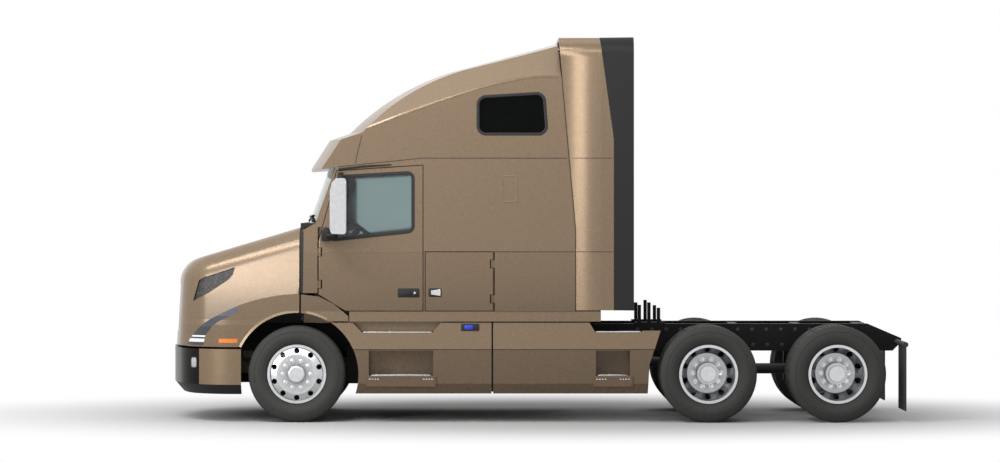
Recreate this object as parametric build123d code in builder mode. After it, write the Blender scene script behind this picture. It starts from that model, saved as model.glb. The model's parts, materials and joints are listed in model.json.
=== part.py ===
"""Conventional sleeper tractor unit, 6x4, as separate pieces in millimetres.

+X is forward, +Y the truck's left, +Z up; the origin lies on the ground at mid length.
"""
import os
from math import cos, radians, sin, sqrt, tan

from build123d import *

os.makedirs("parts", exist_ok=True)

# Driving sizes
FRONT_OVERHANG = 1339.0
WHEELBASE = 4874.0
TANDEM_SPACING = 1321.0
REAR_OVERHANG = 742.0
TYRE_R = 495.0
BODY_HALF_W = 1200.0
WALL = 60.0
DOOR_GAP = 8.0
PANEL_GAP = 12.0
MOVE_GAP = 6.0
SLIP = 0.3

LENGTH = FRONT_OVERHANG + WHEELBASE + TANDEM_SPACING / 2 + REAR_OVERHANG
NOSE_X = LENGTH / 2
TAIL_X = -LENGTH / 2
STEER_X = NOSE_X - FRONT_OVERHANG
BOGIE_X = STEER_X - WHEELBASE
DRIVE_XS = (BOGIE_X + TANDEM_SPACING / 2, BOGIE_X - TANDEM_SPACING / 2)
AXLE_Z = TYRE_R

# Wheels and axles
TYRE_W = 282.0
TREAD_W = 196.0
RIM_SEAT_R = 287.0
RIM_FLANGE_R = 301.0
RIM_HALF_W = 105.0
FLANGE_T = 13.0
RIM_T = 13.0
DUAL_SPACING = 337.0
DRIVE_OUTER_Y = 1219.0 - TYRE_W / 2
DRIVE_INNER_Y = DRIVE_OUTER_Y - DUAL_SPACING
STEER_TYRE_Y = 1025.0
KINGPIN_Y = 915.0
HUB_R = 110.0
DRUM_R = 205.0
SPINDLE_R = 45.0
HAND_HOLES = 10
STEER_MAX = 40.0

# Frame
RAIL_OUT_Y = 430.0
RAIL_TOP = 984.0
RAIL_DEPTH = 282.0
RAIL_FLANGE = 90.0
RAIL_T = 9.0
RAIL_BOTTOM = RAIL_TOP - RAIL_DEPTH
RAIL_FRONT_X = NOSE_X - 300.0

# Cab
COWL_X = STEER_X - 40.0
CAB_BOTTOM = 1140.0
CAB_FLOOR_T = 50.0
SEAM_Z = 2705.0
SEAM_FRONT_X = STEER_X - 400.0
SEAM_FRONT_Z = 2612.0
DOOR_FRONT_X = STEER_X - 223.0
DOOR_REAR_X = STEER_X - 1290.0
CAB_BACK_X = STEER_X - 3112.0
SEAM_REAR_X = STEER_X - 2847.0
HOOD_T = 40.0
HOOD_REAR_X = COWL_X + PANEL_GAP
HOOD_REAR_Z = 1995.0
HOOD_SLOPE = 0.297
INSET = 40.0
SIDE_IN_Y = BODY_HALF_W - WALL
INSET_Y = BODY_HALF_W - INSET
EDGE_R = 18.0

LEFT = 1
RIGHT = -1


def side_plane(y):
    """A sketch plane facing the truck's right, with sketch x along X and sketch y along Z."""
    return Plane.XZ.offset(-y)


def cross_plane(x):
    """A sketch plane across the truck, with sketch x along Y and sketch y along Z."""
    return Plane.YZ.offset(x)


def axle_plane(x, y, z):
    """A sketch plane through an axle line, with sketch x along Y and sketch y along Z."""
    return Plane(origin=(x, y, z), x_dir=(0, 1, 0), z_dir=(1, 0, 0))


def axle_axis(x, z):
    """The line across the truck through an axle."""
    return Axis((x, 0, z), (0, 1, 0))


def save(builder, name):
    """Labels a finished piece and writes its file."""
    builder.part.label = name
    export_step(builder.part, f"parts/{name}.step")


# Frame rails: two tapered-end channels with fifth-wheel bolt holes in the webs
FIFTH_WHEEL_X = DRIVE_XS[0] - TANDEM_SPACING / 2 + 150.0
BOLT_R = 8.0
BOLT_SPAN_X = 600.0
BOLT_SPAN_Z = 120.0
RAIL_LEN = RAIL_FRONT_X - TAIL_X
TAIL_TAPER_X = 350.0
TAIL_TAPER_Z = 150.0
TAIL_UNDERCUT = 90.0
with BuildPart() as frame_rails:
    with BuildSketch(cross_plane(TAIL_X)):
        with Locations((RAIL_OUT_Y - RAIL_FLANGE / 2, RAIL_TOP - RAIL_DEPTH / 2)):
            Rectangle(RAIL_FLANGE, RAIL_DEPTH)
        with Locations((RAIL_OUT_Y - RAIL_FLANGE / 2 - RAIL_T, RAIL_TOP - RAIL_DEPTH / 2)):
            Rectangle(RAIL_FLANGE, RAIL_DEPTH - 2 * RAIL_T, mode=Mode.SUBTRACT)
    extrude(amount=RAIL_LEN)
    with BuildSketch(side_plane(RAIL_OUT_Y + 1)):
        with BuildLine():
            Polyline(
                (TAIL_X - 1, RAIL_TOP + 1),
                (TAIL_X + TAIL_TAPER_X, RAIL_TOP + 1),
                (TAIL_X + TAIL_TAPER_X, RAIL_TOP),
                (TAIL_X, RAIL_TOP - TAIL_TAPER_Z),
                (TAIL_X - 1, RAIL_TOP - TAIL_TAPER_Z),
                close=True,
            )
        make_face()
    extrude(amount=RAIL_FLANGE + 2, mode=Mode.SUBTRACT)
    with BuildSketch(side_plane(RAIL_OUT_Y + 1)):
        with BuildLine():
            Polyline(
                (TAIL_X - 1, RAIL_BOTTOM - 1),
                (TAIL_X + TAIL_UNDERCUT, RAIL_BOTTOM - 1),
                (TAIL_X + TAIL_UNDERCUT, RAIL_BOTTOM),
                (TAIL_X, RAIL_BOTTOM + TAIL_UNDERCUT),
                (TAIL_X - 1, RAIL_BOTTOM + TAIL_UNDERCUT),
                close=True,
            )
        make_face()
    extrude(amount=RAIL_FLANGE + 2, mode=Mode.SUBTRACT)
    with BuildSketch(side_plane(RAIL_OUT_Y + 1)):
        with Locations((FIFTH_WHEEL_X, RAIL_TOP - RAIL_DEPTH / 2)):
            with GridLocations(BOLT_SPAN_X, BOLT_SPAN_Z, 2, 2):
                Circle(BOLT_R)
    extrude(amount=RAIL_T + 2, mode=Mode.SUBTRACT)
    mirror(about=Plane.XZ)
save(frame_rails, "frame_rails")

# Crossmembers between the webs
CROSS_H = RAIL_DEPTH - 2 * RAIL_T
CROSS_W = 2 * (RAIL_OUT_Y - RAIL_T)
CROSS_L = 90.0
CROSS_HEIGHT = CROSS_H * 0.5
CROSS_XS = (
    TAIL_X + 420.0,
    DRIVE_XS[1] + 330.0,
    DRIVE_XS[0] - 330.0,
    DRIVE_XS[0] + 620.0,
    DRIVE_XS[0] + 1500.0,
    STEER_X - 1800.0,
    RAIL_FRONT_X - CROSS_L / 2,
)
with BuildPart() as crossmembers:
    for x in CROSS_XS:
        with Locations((x, 0, RAIL_TOP - RAIL_T - CROSS_HEIGHT / 2)):
            Box(CROSS_L, CROSS_W, CROSS_HEIGHT)
        with Locations((x - RAIL_T, 0, RAIL_TOP - RAIL_T - CROSS_HEIGHT / 2)):
            Box(CROSS_L, CROSS_W - 40, CROSS_HEIGHT - 2 * RAIL_T, mode=Mode.SUBTRACT)
save(crossmembers, "crossmembers")

# Steer axle: dropped beam with kingpin eyes, leaf springs and their hangers
EYE_R = 52.0
EYE_H = 120.0
PIN_R = 24.0
BEAM_H = 90.0
BEAM_L = 100.0
BEAM_DROP = 90.0
SPRING_Y = RAIL_OUT_Y - RAIL_FLANGE / 2
SPRING_W = 90.0
SPRING_T = 50.0
SPRING_HALF = 690.0
SPRING_Z = AXLE_Z + 15.0
HANGER_L = 90.0
with BuildPart() as front_axle:
    with BuildSketch(cross_plane(STEER_X - BEAM_L / 2)):
        with BuildLine():
            Polyline(
                (-KINGPIN_Y, AXLE_Z - BEAM_H / 2),
                (-KINGPIN_Y, AXLE_Z + BEAM_H / 2),
                (-KINGPIN_Y + 170, AXLE_Z + BEAM_H / 2),
                (-SPRING_Y - 120, AXLE_Z + BEAM_H / 2 - BEAM_DROP),
                (SPRING_Y + 120, AXLE_Z + BEAM_H / 2 - BEAM_DROP),
                (KINGPIN_Y - 170, AXLE_Z + BEAM_H / 2),
                (KINGPIN_Y, AXLE_Z + BEAM_H / 2),
                (KINGPIN_Y, AXLE_Z - BEAM_H / 2),
                (KINGPIN_Y - 200, AXLE_Z - BEAM_H / 2),
                (SPRING_Y + 90, AXLE_Z - BEAM_H / 2 - BEAM_DROP),
                (-SPRING_Y - 90, AXLE_Z - BEAM_H / 2 - BEAM_DROP),
                (-KINGPIN_Y + 200, AXLE_Z - BEAM_H / 2),
                close=True,
            )
        make_face()
    extrude(amount=BEAM_L)
    for y in (-KINGPIN_Y, KINGPIN_Y):
        with Locations((STEER_X, y, AXLE_Z)):
            Cylinder(EYE_R, EYE_H)
        with Locations((STEER_X, y, AXLE_Z)):
            Cylinder(EYE_R + 12, EYE_H + 200, mode=Mode.SUBTRACT)
        with Locations((STEER_X, y, AXLE_Z)):
            Cylinder(EYE_R + 12, EYE_H)
        with Locations((STEER_X, y, AXLE_Z)):
            Cylinder(PIN_R + SLIP, EYE_H + 2, mode=Mode.SUBTRACT)
    for y in (-SPRING_Y, SPRING_Y):
        with BuildSketch(side_plane(y + SPRING_W / 2)):
            with BuildLine():
                low = ThreePointArc(
                    (STEER_X - SPRING_HALF, SPRING_Z + 60),
                    (STEER_X, SPRING_Z - 5),
                    (STEER_X + SPRING_HALF, SPRING_Z + 60),
                )
                high = ThreePointArc(
                    (STEER_X - SPRING_HALF, SPRING_Z + 60 + SPRING_T * 0.5),
                    (STEER_X, SPRING_Z - 5 + SPRING_T * 1.5),
                    (STEER_X + SPRING_HALF, SPRING_Z + 60 + SPRING_T * 0.5),
                )
                Line(low @ 0, high @ 0)
                Line(low @ 1, high @ 1)
            make_face()
        extrude(amount=SPRING_W)
        with Locations((STEER_X, y, (AXLE_Z + BEAM_H / 2 - BEAM_DROP + SPRING_Z) / 2)):
            Box(BEAM_L, SPRING_W, SPRING_Z + 30 - (AXLE_Z + BEAM_H / 2 - BEAM_DROP))
        for x in (STEER_X - SPRING_HALF, STEER_X + SPRING_HALF):
            with Locations((x, y, (RAIL_BOTTOM + SPRING_Z + 45) / 2)):
                Box(HANGER_L, SPRING_W, RAIL_BOTTOM - SPRING_Z - 45)
save(front_axle, "front_axle")

# Steering knuckle: fork on the kingpin, spindle outward, arm rearward
SPINDLE_LEN = 170.0
EAR_T = 30.0
ARM_BACK = 190.0
ARM_IN = 0.0
ARM_Z = AXLE_Z - EYE_H / 2 - EAR_T / 2 - 1
BALL_R = 16.0
with BuildPart() as knuckle_left:
    with Locations((STEER_X, KINGPIN_Y, AXLE_Z)):
        Cylinder(PIN_R, EYE_H + 2 * EAR_T + 2)
    for z in (AXLE_Z - EYE_H / 2 - EAR_T / 2 - 1, AXLE_Z + EYE_H / 2 + EAR_T / 2 + 1):
        with Locations((STEER_X, KINGPIN_Y, z)):
            Cylinder(EYE_R, EAR_T)
        with Locations((STEER_X, KINGPIN_Y + 45, z)):
            Box(2 * EYE_R, 90, EAR_T)
    with Locations((STEER_X, KINGPIN_Y + 80, AXLE_Z)):
        Box(2 * EYE_R, 20, EYE_H + 2 * EAR_T + 2)
    with BuildSketch(side_plane(KINGPIN_Y + 85)):
        with Locations((STEER_X, AXLE_Z)):
            Circle(SPINDLE_R)
    extrude(amount=-SPINDLE_LEN)
    with BuildSketch(Plane.XY.offset(ARM_Z - EAR_T / 2)):
        with BuildLine():
            Polyline(
                (STEER_X - 30, KINGPIN_Y + 45),
                (STEER_X - 30, KINGPIN_Y - 45),
                (STEER_X - ARM_BACK - 30, KINGPIN_Y - ARM_IN - 30),
                (STEER_X - ARM_BACK - 30, KINGPIN_Y - ARM_IN + 30),
                close=True,
            )
        make_face()
    extrude(amount=EAR_T)
    with Locations((STEER_X - ARM_BACK, KINGPIN_Y - ARM_IN, ARM_Z - EAR_T)):
        Cylinder(BALL_R, EAR_T * 2 + 30)
save(knuckle_left, "knuckle_left")

with BuildPart() as knuckle_right:
    add(knuckle_left.part)
    mirror(about=Plane.XZ, mode=Mode.REPLACE)
save(knuckle_right, "knuckle_right")

# Tie rod between the two steering arms
ROD_R = 22.0
ROD_Z = ARM_Z - EAR_T / 2 - 30.0
ROD_Y = KINGPIN_Y - ARM_IN
with BuildPart() as tie_rod:
    with BuildSketch(side_plane(ROD_Y)):
        with Locations((STEER_X - ARM_BACK, ROD_Z)):
            Circle(ROD_R)
    extrude(amount=2 * ROD_Y)
    for y in (-ROD_Y, ROD_Y):
        with Locations((STEER_X - ARM_BACK, y, ROD_Z)):
            Cylinder(BALL_R + 18, 2 * ROD_R)
        with Locations((STEER_X - ARM_BACK, y, ROD_Z)):
            Cylinder(BALL_R + SLIP, 4 * ROD_R, mode=Mode.SUBTRACT)
save(tie_rod, "tie_rod")


def tyre_ring(x, y):
    """One tyre, a ring about its axle line."""
    half = TYRE_W / 2
    bead = RIM_FLANGE_R + 3
    with BuildPart() as ring:
        with BuildSketch(axle_plane(x, y, AXLE_Z)):
            with BuildLine():
                near = ThreePointArc((RIM_HALF_W, bead), (half, 392), (half - 14, 458))
                Line((RIM_HALF_W, RIM_SEAT_R), (RIM_HALF_W, bead))
                TangentArc(near @ 1, (TREAD_W / 2, TYRE_R), tangent=near % 1)
                Line((TREAD_W / 2, TYRE_R), (-TREAD_W / 2, TYRE_R))
                far = ThreePointArc((-RIM_HALF_W, bead), (-half, 392), (-half + 14, 458))
                TangentArc(far @ 1, (-TREAD_W / 2, TYRE_R), tangent=far % 1)
                Line((-RIM_HALF_W, bead), (-RIM_HALF_W, RIM_SEAT_R))
                Line((-RIM_HALF_W, RIM_SEAT_R), (RIM_HALF_W, RIM_SEAT_R))
            make_face()
        revolve(axis=axle_axis(x, AXLE_Z))
    return ring.part


def disc_rim(x, y, rim_off, face_off, out):
    """A flanged barrel and a disc to its flat bolting face, with a ring of hand holes."""
    edge = RIM_HALF_W + SLIP
    lip = edge + FLANGE_T
    seat = RIM_SEAT_R - SLIP
    inner = seat - RIM_T
    thick = DISC_T * out
    with BuildPart() as rim:
        with BuildSketch(axle_plane(x, y, AXLE_Z)):
            with BuildLine():
                Polyline(
                    (rim_off, inner + 2),
                    (face_off, FACE_R),
                    (face_off, HUB_R - 20),
                    (face_off + thick, HUB_R - 20),
                    (face_off + thick, FACE_R),
                    (rim_off + thick, inner + 2),
                    close=True,
                )
            make_face()
        revolve(axis=axle_axis(x, AXLE_Z))
        with BuildSketch(side_plane(y + 400)):
            with Locations((x, AXLE_Z)):
                with PolarLocations(HAND_HOLE_PITCH_R, HAND_HOLES, start_angle=18):
                    Circle(HAND_HOLE_R)
        extrude(amount=800, mode=Mode.SUBTRACT)
        with BuildSketch(axle_plane(x, y, AXLE_Z)):
            with BuildLine():
                Polyline(
                    (-lip, inner),
                    (-lip, RIM_FLANGE_R),
                    (-edge, RIM_FLANGE_R),
                    (-edge, seat),
                    (edge, seat),
                    (edge, RIM_FLANGE_R),
                    (lip, RIM_FLANGE_R),
                    (lip, inner),
                    close=True,
                )
            make_face()
        revolve(axis=axle_axis(x, AXLE_Z))
    return rim.part


# Steer wheels: tyre ring, and a disc wheel with hub and drum
DISC_T = 14.0
FACE_R = 205.0
HAND_HOLE_PITCH_R = 240.0
HAND_HOLE_R = 28.0
STEER_FACE = 118.0
CAP_R = 92.0
STEER_HUB_Y = STEER_TYRE_Y + STEER_FACE
steer_ring = tyre_ring(STEER_X, STEER_TYRE_Y)
with BuildPart() as steer_tyre_left:
    add(steer_ring)
save(steer_tyre_left, "steer_tyre_left")

steer_rim = disc_rim(STEER_X, STEER_TYRE_Y, RIM_HALF_W - DISC_T, STEER_FACE, 1)
with BuildPart() as steer_wheel_left:
    add(steer_rim)
    with BuildSketch(side_plane(STEER_HUB_Y + 70)):
        with Locations((STEER_X, AXLE_Z)):
            Circle(CAP_R)
    extrude(amount=80)
    fillet(faces().sort_by(Axis.Y)[-1].edges(), 22)
    with BuildSketch(side_plane(STEER_HUB_Y + 8)):
        with Locations((STEER_X, AXLE_Z)):
            Circle(HUB_R + 30)
    extrude(amount=140)
    with BuildSketch(side_plane(STEER_HUB_Y - 40)):
        with Locations((STEER_X, AXLE_Z)):
            Circle(DRUM_R)
            Circle(DRUM_R - 35, mode=Mode.SUBTRACT)
    extrude(amount=120)
    with BuildSketch(side_plane(STEER_HUB_Y - 40)):
        with Locations((STEER_X, AXLE_Z)):
            Circle(DRUM_R)
    extrude(amount=14)
    with BuildSketch(side_plane(STEER_TYRE_Y - 100)):
        with Locations((STEER_X, AXLE_Z)):
            Circle(SPINDLE_R + SLIP)
    extrude(amount=-(KINGPIN_Y + 85 + SPINDLE_LEN + 1 - STEER_TYRE_Y + 100), mode=Mode.SUBTRACT)
save(steer_wheel_left, "steer_wheel_left")

with BuildPart() as steer_tyre_right:
    add(steer_tyre_left.part)
    mirror(about=Plane.XZ, mode=Mode.REPLACE)
save(steer_tyre_right, "steer_tyre_right")

with BuildPart() as steer_wheel_right:
    add(steer_wheel_left.part)
    mirror(about=Plane.XZ, mode=Mode.REPLACE)
save(steer_wheel_right, "steer_wheel_right")

# Drive wheels: twin tyres, twin rims and hub on each end of both drive axles
FACE_Y = (DRIVE_OUTER_Y + DRIVE_INNER_Y) / 2
DRIVE_CAP_Y = DRIVE_OUTER_Y + 40.0
DRUM_IN_Y = DRIVE_INNER_Y - 70.0
SPINDLE_END_Y = DRIVE_OUTER_Y - 60.0
RIM_DISH = 40.0
for x, tag in zip(DRIVE_XS, ("front", "rear")):
    outer_ring = tyre_ring(x, DRIVE_OUTER_Y)
    inner_ring = tyre_ring(x, DRIVE_INNER_Y)
    with BuildPart() as drive_tyres_left:
        add(outer_ring)
        add(inner_ring)
    save(drive_tyres_left, f"drive_tyres_{tag}_left")

    outer_rim = disc_rim(x, DRIVE_OUTER_Y, -RIM_DISH, FACE_Y - DRIVE_OUTER_Y, 1)
    inner_rim = disc_rim(x, DRIVE_INNER_Y, RIM_DISH, FACE_Y - DRIVE_INNER_Y, -1)
    with BuildPart() as drive_wheel_left:
        add(outer_rim)
        add(inner_rim)
        with BuildSketch(side_plane(DRIVE_CAP_Y - 30)):
            with Locations((x, AXLE_Z)):
                Circle(HUB_R)
        extrude(amount=DRIVE_CAP_Y - 30 - DRUM_IN_Y - 120)
        with BuildSketch(side_plane(DRIVE_CAP_Y)):
            with Locations((x, AXLE_Z)):
                Circle(HUB_R - 30)
        extrude(amount=80)
        with BuildSketch(side_plane(FACE_Y - 14)):
            with Locations((x, AXLE_Z)):
                Circle(DRUM_R)
                Circle(DRUM_R - 35, mode=Mode.SUBTRACT)
        extrude(amount=FACE_Y - 14 - DRUM_IN_Y)
        with BuildSketch(side_plane(DRUM_IN_Y - 1)):
            with Locations((x, AXLE_Z)):
                Circle(SPINDLE_R + SLIP)
        extrude(amount=-(SPINDLE_END_Y + 2 - DRUM_IN_Y), mode=Mode.SUBTRACT)
    save(drive_wheel_left, f"drive_wheel_{tag}_left")

    with BuildPart() as drive_tyres_right:
        add(drive_tyres_left.part)
        mirror(about=Plane.XZ, mode=Mode.REPLACE)
    save(drive_tyres_right, f"drive_tyres_{tag}_right")

    with BuildPart() as drive_wheel_right:
        add(drive_wheel_left.part)
        mirror(about=Plane.XZ, mode=Mode.REPLACE)
    save(drive_wheel_right, f"drive_wheel_{tag}_right")

# Drive axles: tube with a banjo housing and a spindle at each end
TUBE_R = 75.0
BANJO_R = 215.0
TUBE_END_Y = DRUM_IN_Y - 8.0
with BuildPart() as drive_axles:
    for x in DRIVE_XS:
        with BuildSketch(side_plane(TUBE_END_Y)):
            with Locations((x, AXLE_Z)):
                Circle(TUBE_R)
        extrude(amount=2 * TUBE_END_Y)
        with BuildSketch(side_plane(SPINDLE_END_Y)):
            with Locations((x, AXLE_Z)):
                Circle(SPINDLE_R)
        extrude(amount=2 * SPINDLE_END_Y)
        with BuildSketch(side_plane(110)):
            with Locations((x, AXLE_Z)):
                Circle(BANJO_R)
        extrude(amount=220)
save(drive_axles, "drive_axles")

# Rear suspension: trailing arms, air springs on the arms' tails, and frame hangers
ARM_Y = SPRING_Y
ARM_W = 80.0
ARM_T = 60.0
ARM_FRONT = 420.0
ARM_TAIL = 330.0
ARM_TOP = AXLE_Z - TUBE_R
BAG_R = 120.0
BAG_X = 270.0
with BuildPart() as rear_suspension:
    for x in DRIVE_XS:
        for y in (-ARM_Y, ARM_Y):
            with Locations((x + (ARM_FRONT - ARM_TAIL) / 2, y, ARM_TOP - ARM_T / 2)):
                Box(ARM_FRONT + ARM_TAIL, ARM_W, ARM_T)
            with Locations((x - BAG_X, y, (ARM_TOP + RAIL_BOTTOM) / 2)):
                Cylinder(BAG_R, RAIL_BOTTOM - ARM_TOP)
            with Locations((x + ARM_FRONT - 50, y, (ARM_TOP + RAIL_BOTTOM) / 2)):
                Box(100, ARM_W, RAIL_BOTTOM - ARM_TOP)
save(rear_suspension, "rear_suspension")

# Engine with its gearbox as one block
ENGINE_HALF_W = RAIL_OUT_Y - RAIL_FLANGE - 15.0
ENGINE_FRONT_X = STEER_X + 760.0
ENGINE_BACK_X = STEER_X + 20.0
GEARBOX_BACK_X = STEER_X - 1450.0
ENGINE_TOP = 1690.0
ENGINE_BOTTOM = RAIL_BOTTOM + 10.0
GEARBOX_TOP = RAIL_TOP - 20.0
with BuildPart() as engine:
    with BuildSketch(side_plane(ENGINE_HALF_W)):
        with BuildLine():
            Polyline(
                (GEARBOX_BACK_X, ENGINE_BOTTOM + 60),
                (GEARBOX_BACK_X, GEARBOX_TOP - 60),
                (GEARBOX_BACK_X + 500, GEARBOX_TOP),
                (ENGINE_BACK_X, GEARBOX_TOP),
                (ENGINE_BACK_X, ENGINE_TOP),
                (ENGINE_FRONT_X, ENGINE_TOP - 160),
                (ENGINE_FRONT_X, ENGINE_BOTTOM),
                (GEARBOX_BACK_X + 200, ENGINE_BOTTOM),
                close=True,
            )
        make_face()
    extrude(amount=2 * ENGINE_HALF_W)
    for x in (ENGINE_FRONT_X - 150, ENGINE_BACK_X - 250):
        with Locations((x, 0, RAIL_TOP + 15)):
            Box(120, 2 * RAIL_OUT_Y, 30)
save(engine, "engine")

# Driveshaft: gearbox to the first banjo, and a short shaft between the two
SHAFT_R = 55.0
with BuildPart() as driveshaft:
    shaft_from = Vector(DRIVE_XS[0] + BANJO_R - 8, 0, AXLE_Z + 40)
    shaft_to = Vector(GEARBOX_BACK_X, 0, ENGINE_BOTTOM + 90)
    with BuildSketch(Plane(origin=shaft_from, z_dir=shaft_to - shaft_from)):
        Circle(SHAFT_R)
    extrude(amount=(shaft_to - shaft_from).length + 20)
    with BuildSketch(cross_plane(DRIVE_XS[1] + BANJO_R - 20)):
        with Locations((0, AXLE_Z)):
            Circle(SHAFT_R)
    extrude(amount=TANDEM_SPACING - 2 * BANJO_R + 40)
    add(drive_axles.part, mode=Mode.SUBTRACT)
    add(engine.part, mode=Mode.SUBTRACT)
save(driveshaft, "driveshaft")

# Cooling pack ahead of the engine
RAD_HALF_W = 400.0
RAD_T = 130.0
RAD_X = ENGINE_FRONT_X + 40.0 + RAD_T / 2
RAD_CLEAR = 190.0
RAD_TOP = HOOD_REAR_Z - HOOD_SLOPE * (RAD_X + RAD_T - HOOD_REAR_X) - HOOD_T - RAD_CLEAR
with BuildPart() as radiator:
    with Locations((RAD_X, 0, (RAIL_TOP + RAD_TOP) / 2)):
        Box(RAD_T, 2 * RAD_HALF_W, RAD_TOP - RAIL_TOP)
    with Locations((RAD_X, 0, RAIL_TOP)):
        Box(RAD_T, 2 * (RAIL_OUT_Y - RAIL_FLANGE - 10), 300)
    with Locations((RAD_X, 0, RAIL_TOP + 20)):
        Box(RAD_T, 2 * RAIL_OUT_Y, 40)
save(radiator, "radiator")

# Front end outline in plan: straight sides, round corners and a bowed front
CORNER_BACK = 717.0
CORNER_FRONT = 118.0
CORNER_IN = 435.0


def nose_outline(z, half_w, front_x, rear_x):
    """The plan outline of the front end as a face at height z."""
    with BuildSketch(Plane.XY.offset(z)) as outline:
        with BuildLine():
            Line((rear_x, -half_w), (rear_x, half_w))
            side = Line((rear_x, half_w), (front_x - CORNER_BACK, half_w))
            TangentArc(side @ 1, (front_x - CORNER_FRONT, half_w - CORNER_IN), tangent=side % 1)
            ThreePointArc(
                (front_x - CORNER_FRONT, half_w - CORNER_IN),
                (front_x, 0),
                (front_x - CORNER_FRONT, CORNER_IN - half_w),
            )
            other = Line((rear_x, -half_w), (front_x - CORNER_BACK, -half_w))
            TangentArc(other @ 1, (front_x - CORNER_FRONT, CORNER_IN - half_w), tangent=other % 1)
        make_face()
    return outline.sketch


# Bumper and the dark valance under it
BUMPER_W = BODY_HALF_W - 5.0
BUMPER_T = 34.0
BUMPER_TOP = 752.0
BUMPER_SPLIT = 388.0
BUMPER_BOTTOM = 288.0
BUMPER_REAR_X = STEER_X + 568.0
VALANCE_TAPER = 40.0
HOOD_GAP = 22.0
HINGE_X = NOSE_X - 118.0
HINGE_Z = BUMPER_TOP + HOOD_GAP + 86.0
HINGE_R = 20.0
HINGE_Y = RAIL_OUT_Y - 100.0
HINGE_PIN_R = 12.0
HINGE_ARM_W = 40.0
EAR_W = 16.0
bumper_outer = nose_outline(BUMPER_SPLIT, BUMPER_W, NOSE_X, BUMPER_REAR_X)
bumper_inner = nose_outline(BUMPER_SPLIT, BUMPER_W - BUMPER_T, NOSE_X - BUMPER_T, BUMPER_REAR_X - 1)
with BuildPart() as bumper:
    extrude(to_extrude=bumper_outer, amount=BUMPER_TOP - BUMPER_SPLIT)
    extrude(to_extrude=bumper_inner, amount=BUMPER_TOP - BUMPER_SPLIT, mode=Mode.SUBTRACT)
    for y in (-SPRING_Y, SPRING_Y):
        with Locations(((RAIL_FRONT_X + NOSE_X - 55) / 2, y, (BUMPER_TOP + BUMPER_SPLIT) / 2)):
            Box(NOSE_X - 55 - RAIL_FRONT_X, RAIL_FLANGE, BUMPER_TOP - BUMPER_SPLIT - 60)
    for y in (-HINGE_Y, HINGE_Y):
        with BuildSketch(side_plane(y + HINGE_ARM_W / 2)):
            with BuildLine():
                Polyline(
                    (RAIL_FRONT_X, BUMPER_TOP - 60),
                    (RAIL_FRONT_X, BUMPER_TOP + 60),
                    (HINGE_X, HINGE_Z + HINGE_R),
                    (HINGE_X, HINGE_Z - HINGE_R),
                    (RAIL_FRONT_X + 30, BUMPER_TOP - 30),
                    (RAIL_FRONT_X + 30, BUMPER_TOP - 60),
                    close=True,
                )
            make_face()
            with Locations((HINGE_X, HINGE_Z)):
                Circle(HINGE_R)
                Circle(HINGE_PIN_R + SLIP, mode=Mode.SUBTRACT)
        extrude(amount=HINGE_ARM_W)
save(bumper, "bumper")

valance_outer = nose_outline(BUMPER_SPLIT, BUMPER_W, NOSE_X, BUMPER_REAR_X - 300)
valance_inner = nose_outline(BUMPER_SPLIT, BUMPER_W - BUMPER_T, NOSE_X - BUMPER_T, BUMPER_REAR_X - 301)
with BuildPart() as bumper_valance:
    extrude(to_extrude=valance_outer, amount=BUMPER_BOTTOM - BUMPER_SPLIT, taper=VALANCE_TAPER)
    extrude(
        to_extrude=valance_inner,
        amount=BUMPER_BOTTOM - BUMPER_SPLIT,
        taper=VALANCE_TAPER,
        mode=Mode.SUBTRACT,
    )
    with Locations((BUMPER_REAR_X - 500, 0, BUMPER_SPLIT)):
        Box(1000, 4 * BODY_HALF_W, 400, mode=Mode.SUBTRACT)
save(bumper_valance, "bumper_valance")

# Hood: tapered nose over two fenders, hinged at the front, open underneath
HOOD_BASE_Z = BUMPER_TOP + HOOD_GAP
HOOD_REAR_W = BODY_HALF_W + 28.0
HOOD_FRONT_X = NOSE_X - 20.0
HOOD_LEAN = 3.2
SHOULDER_R = 260.0
HOOD_RUN_ON = 400.0
HOOD_TAPER_W = 290.0
HOOD_BOW = 150.0
HOOD_TAPER_L = HOOD_FRONT_X - HOOD_BOW - HOOD_REAR_X
NOSE_CORNER_R = 450.0
FENDER_W = BODY_HALF_W - 8.0
FENDER_FRONT_X = NOSE_X - 12.0
ARCH_R = TYRE_R + 133.0
BROW_REAR_Z = 1318.0
BROW_MID = (STEER_X + 831.0, 1090.0)
BROW_CROWN = (STEER_X + 420.0, 1254.0)
BROW_TIP = (STEER_X + 1160.0, HOOD_BASE_Z)
BROW_BEND = (STEER_X + 1030.0, 955.0)


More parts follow.
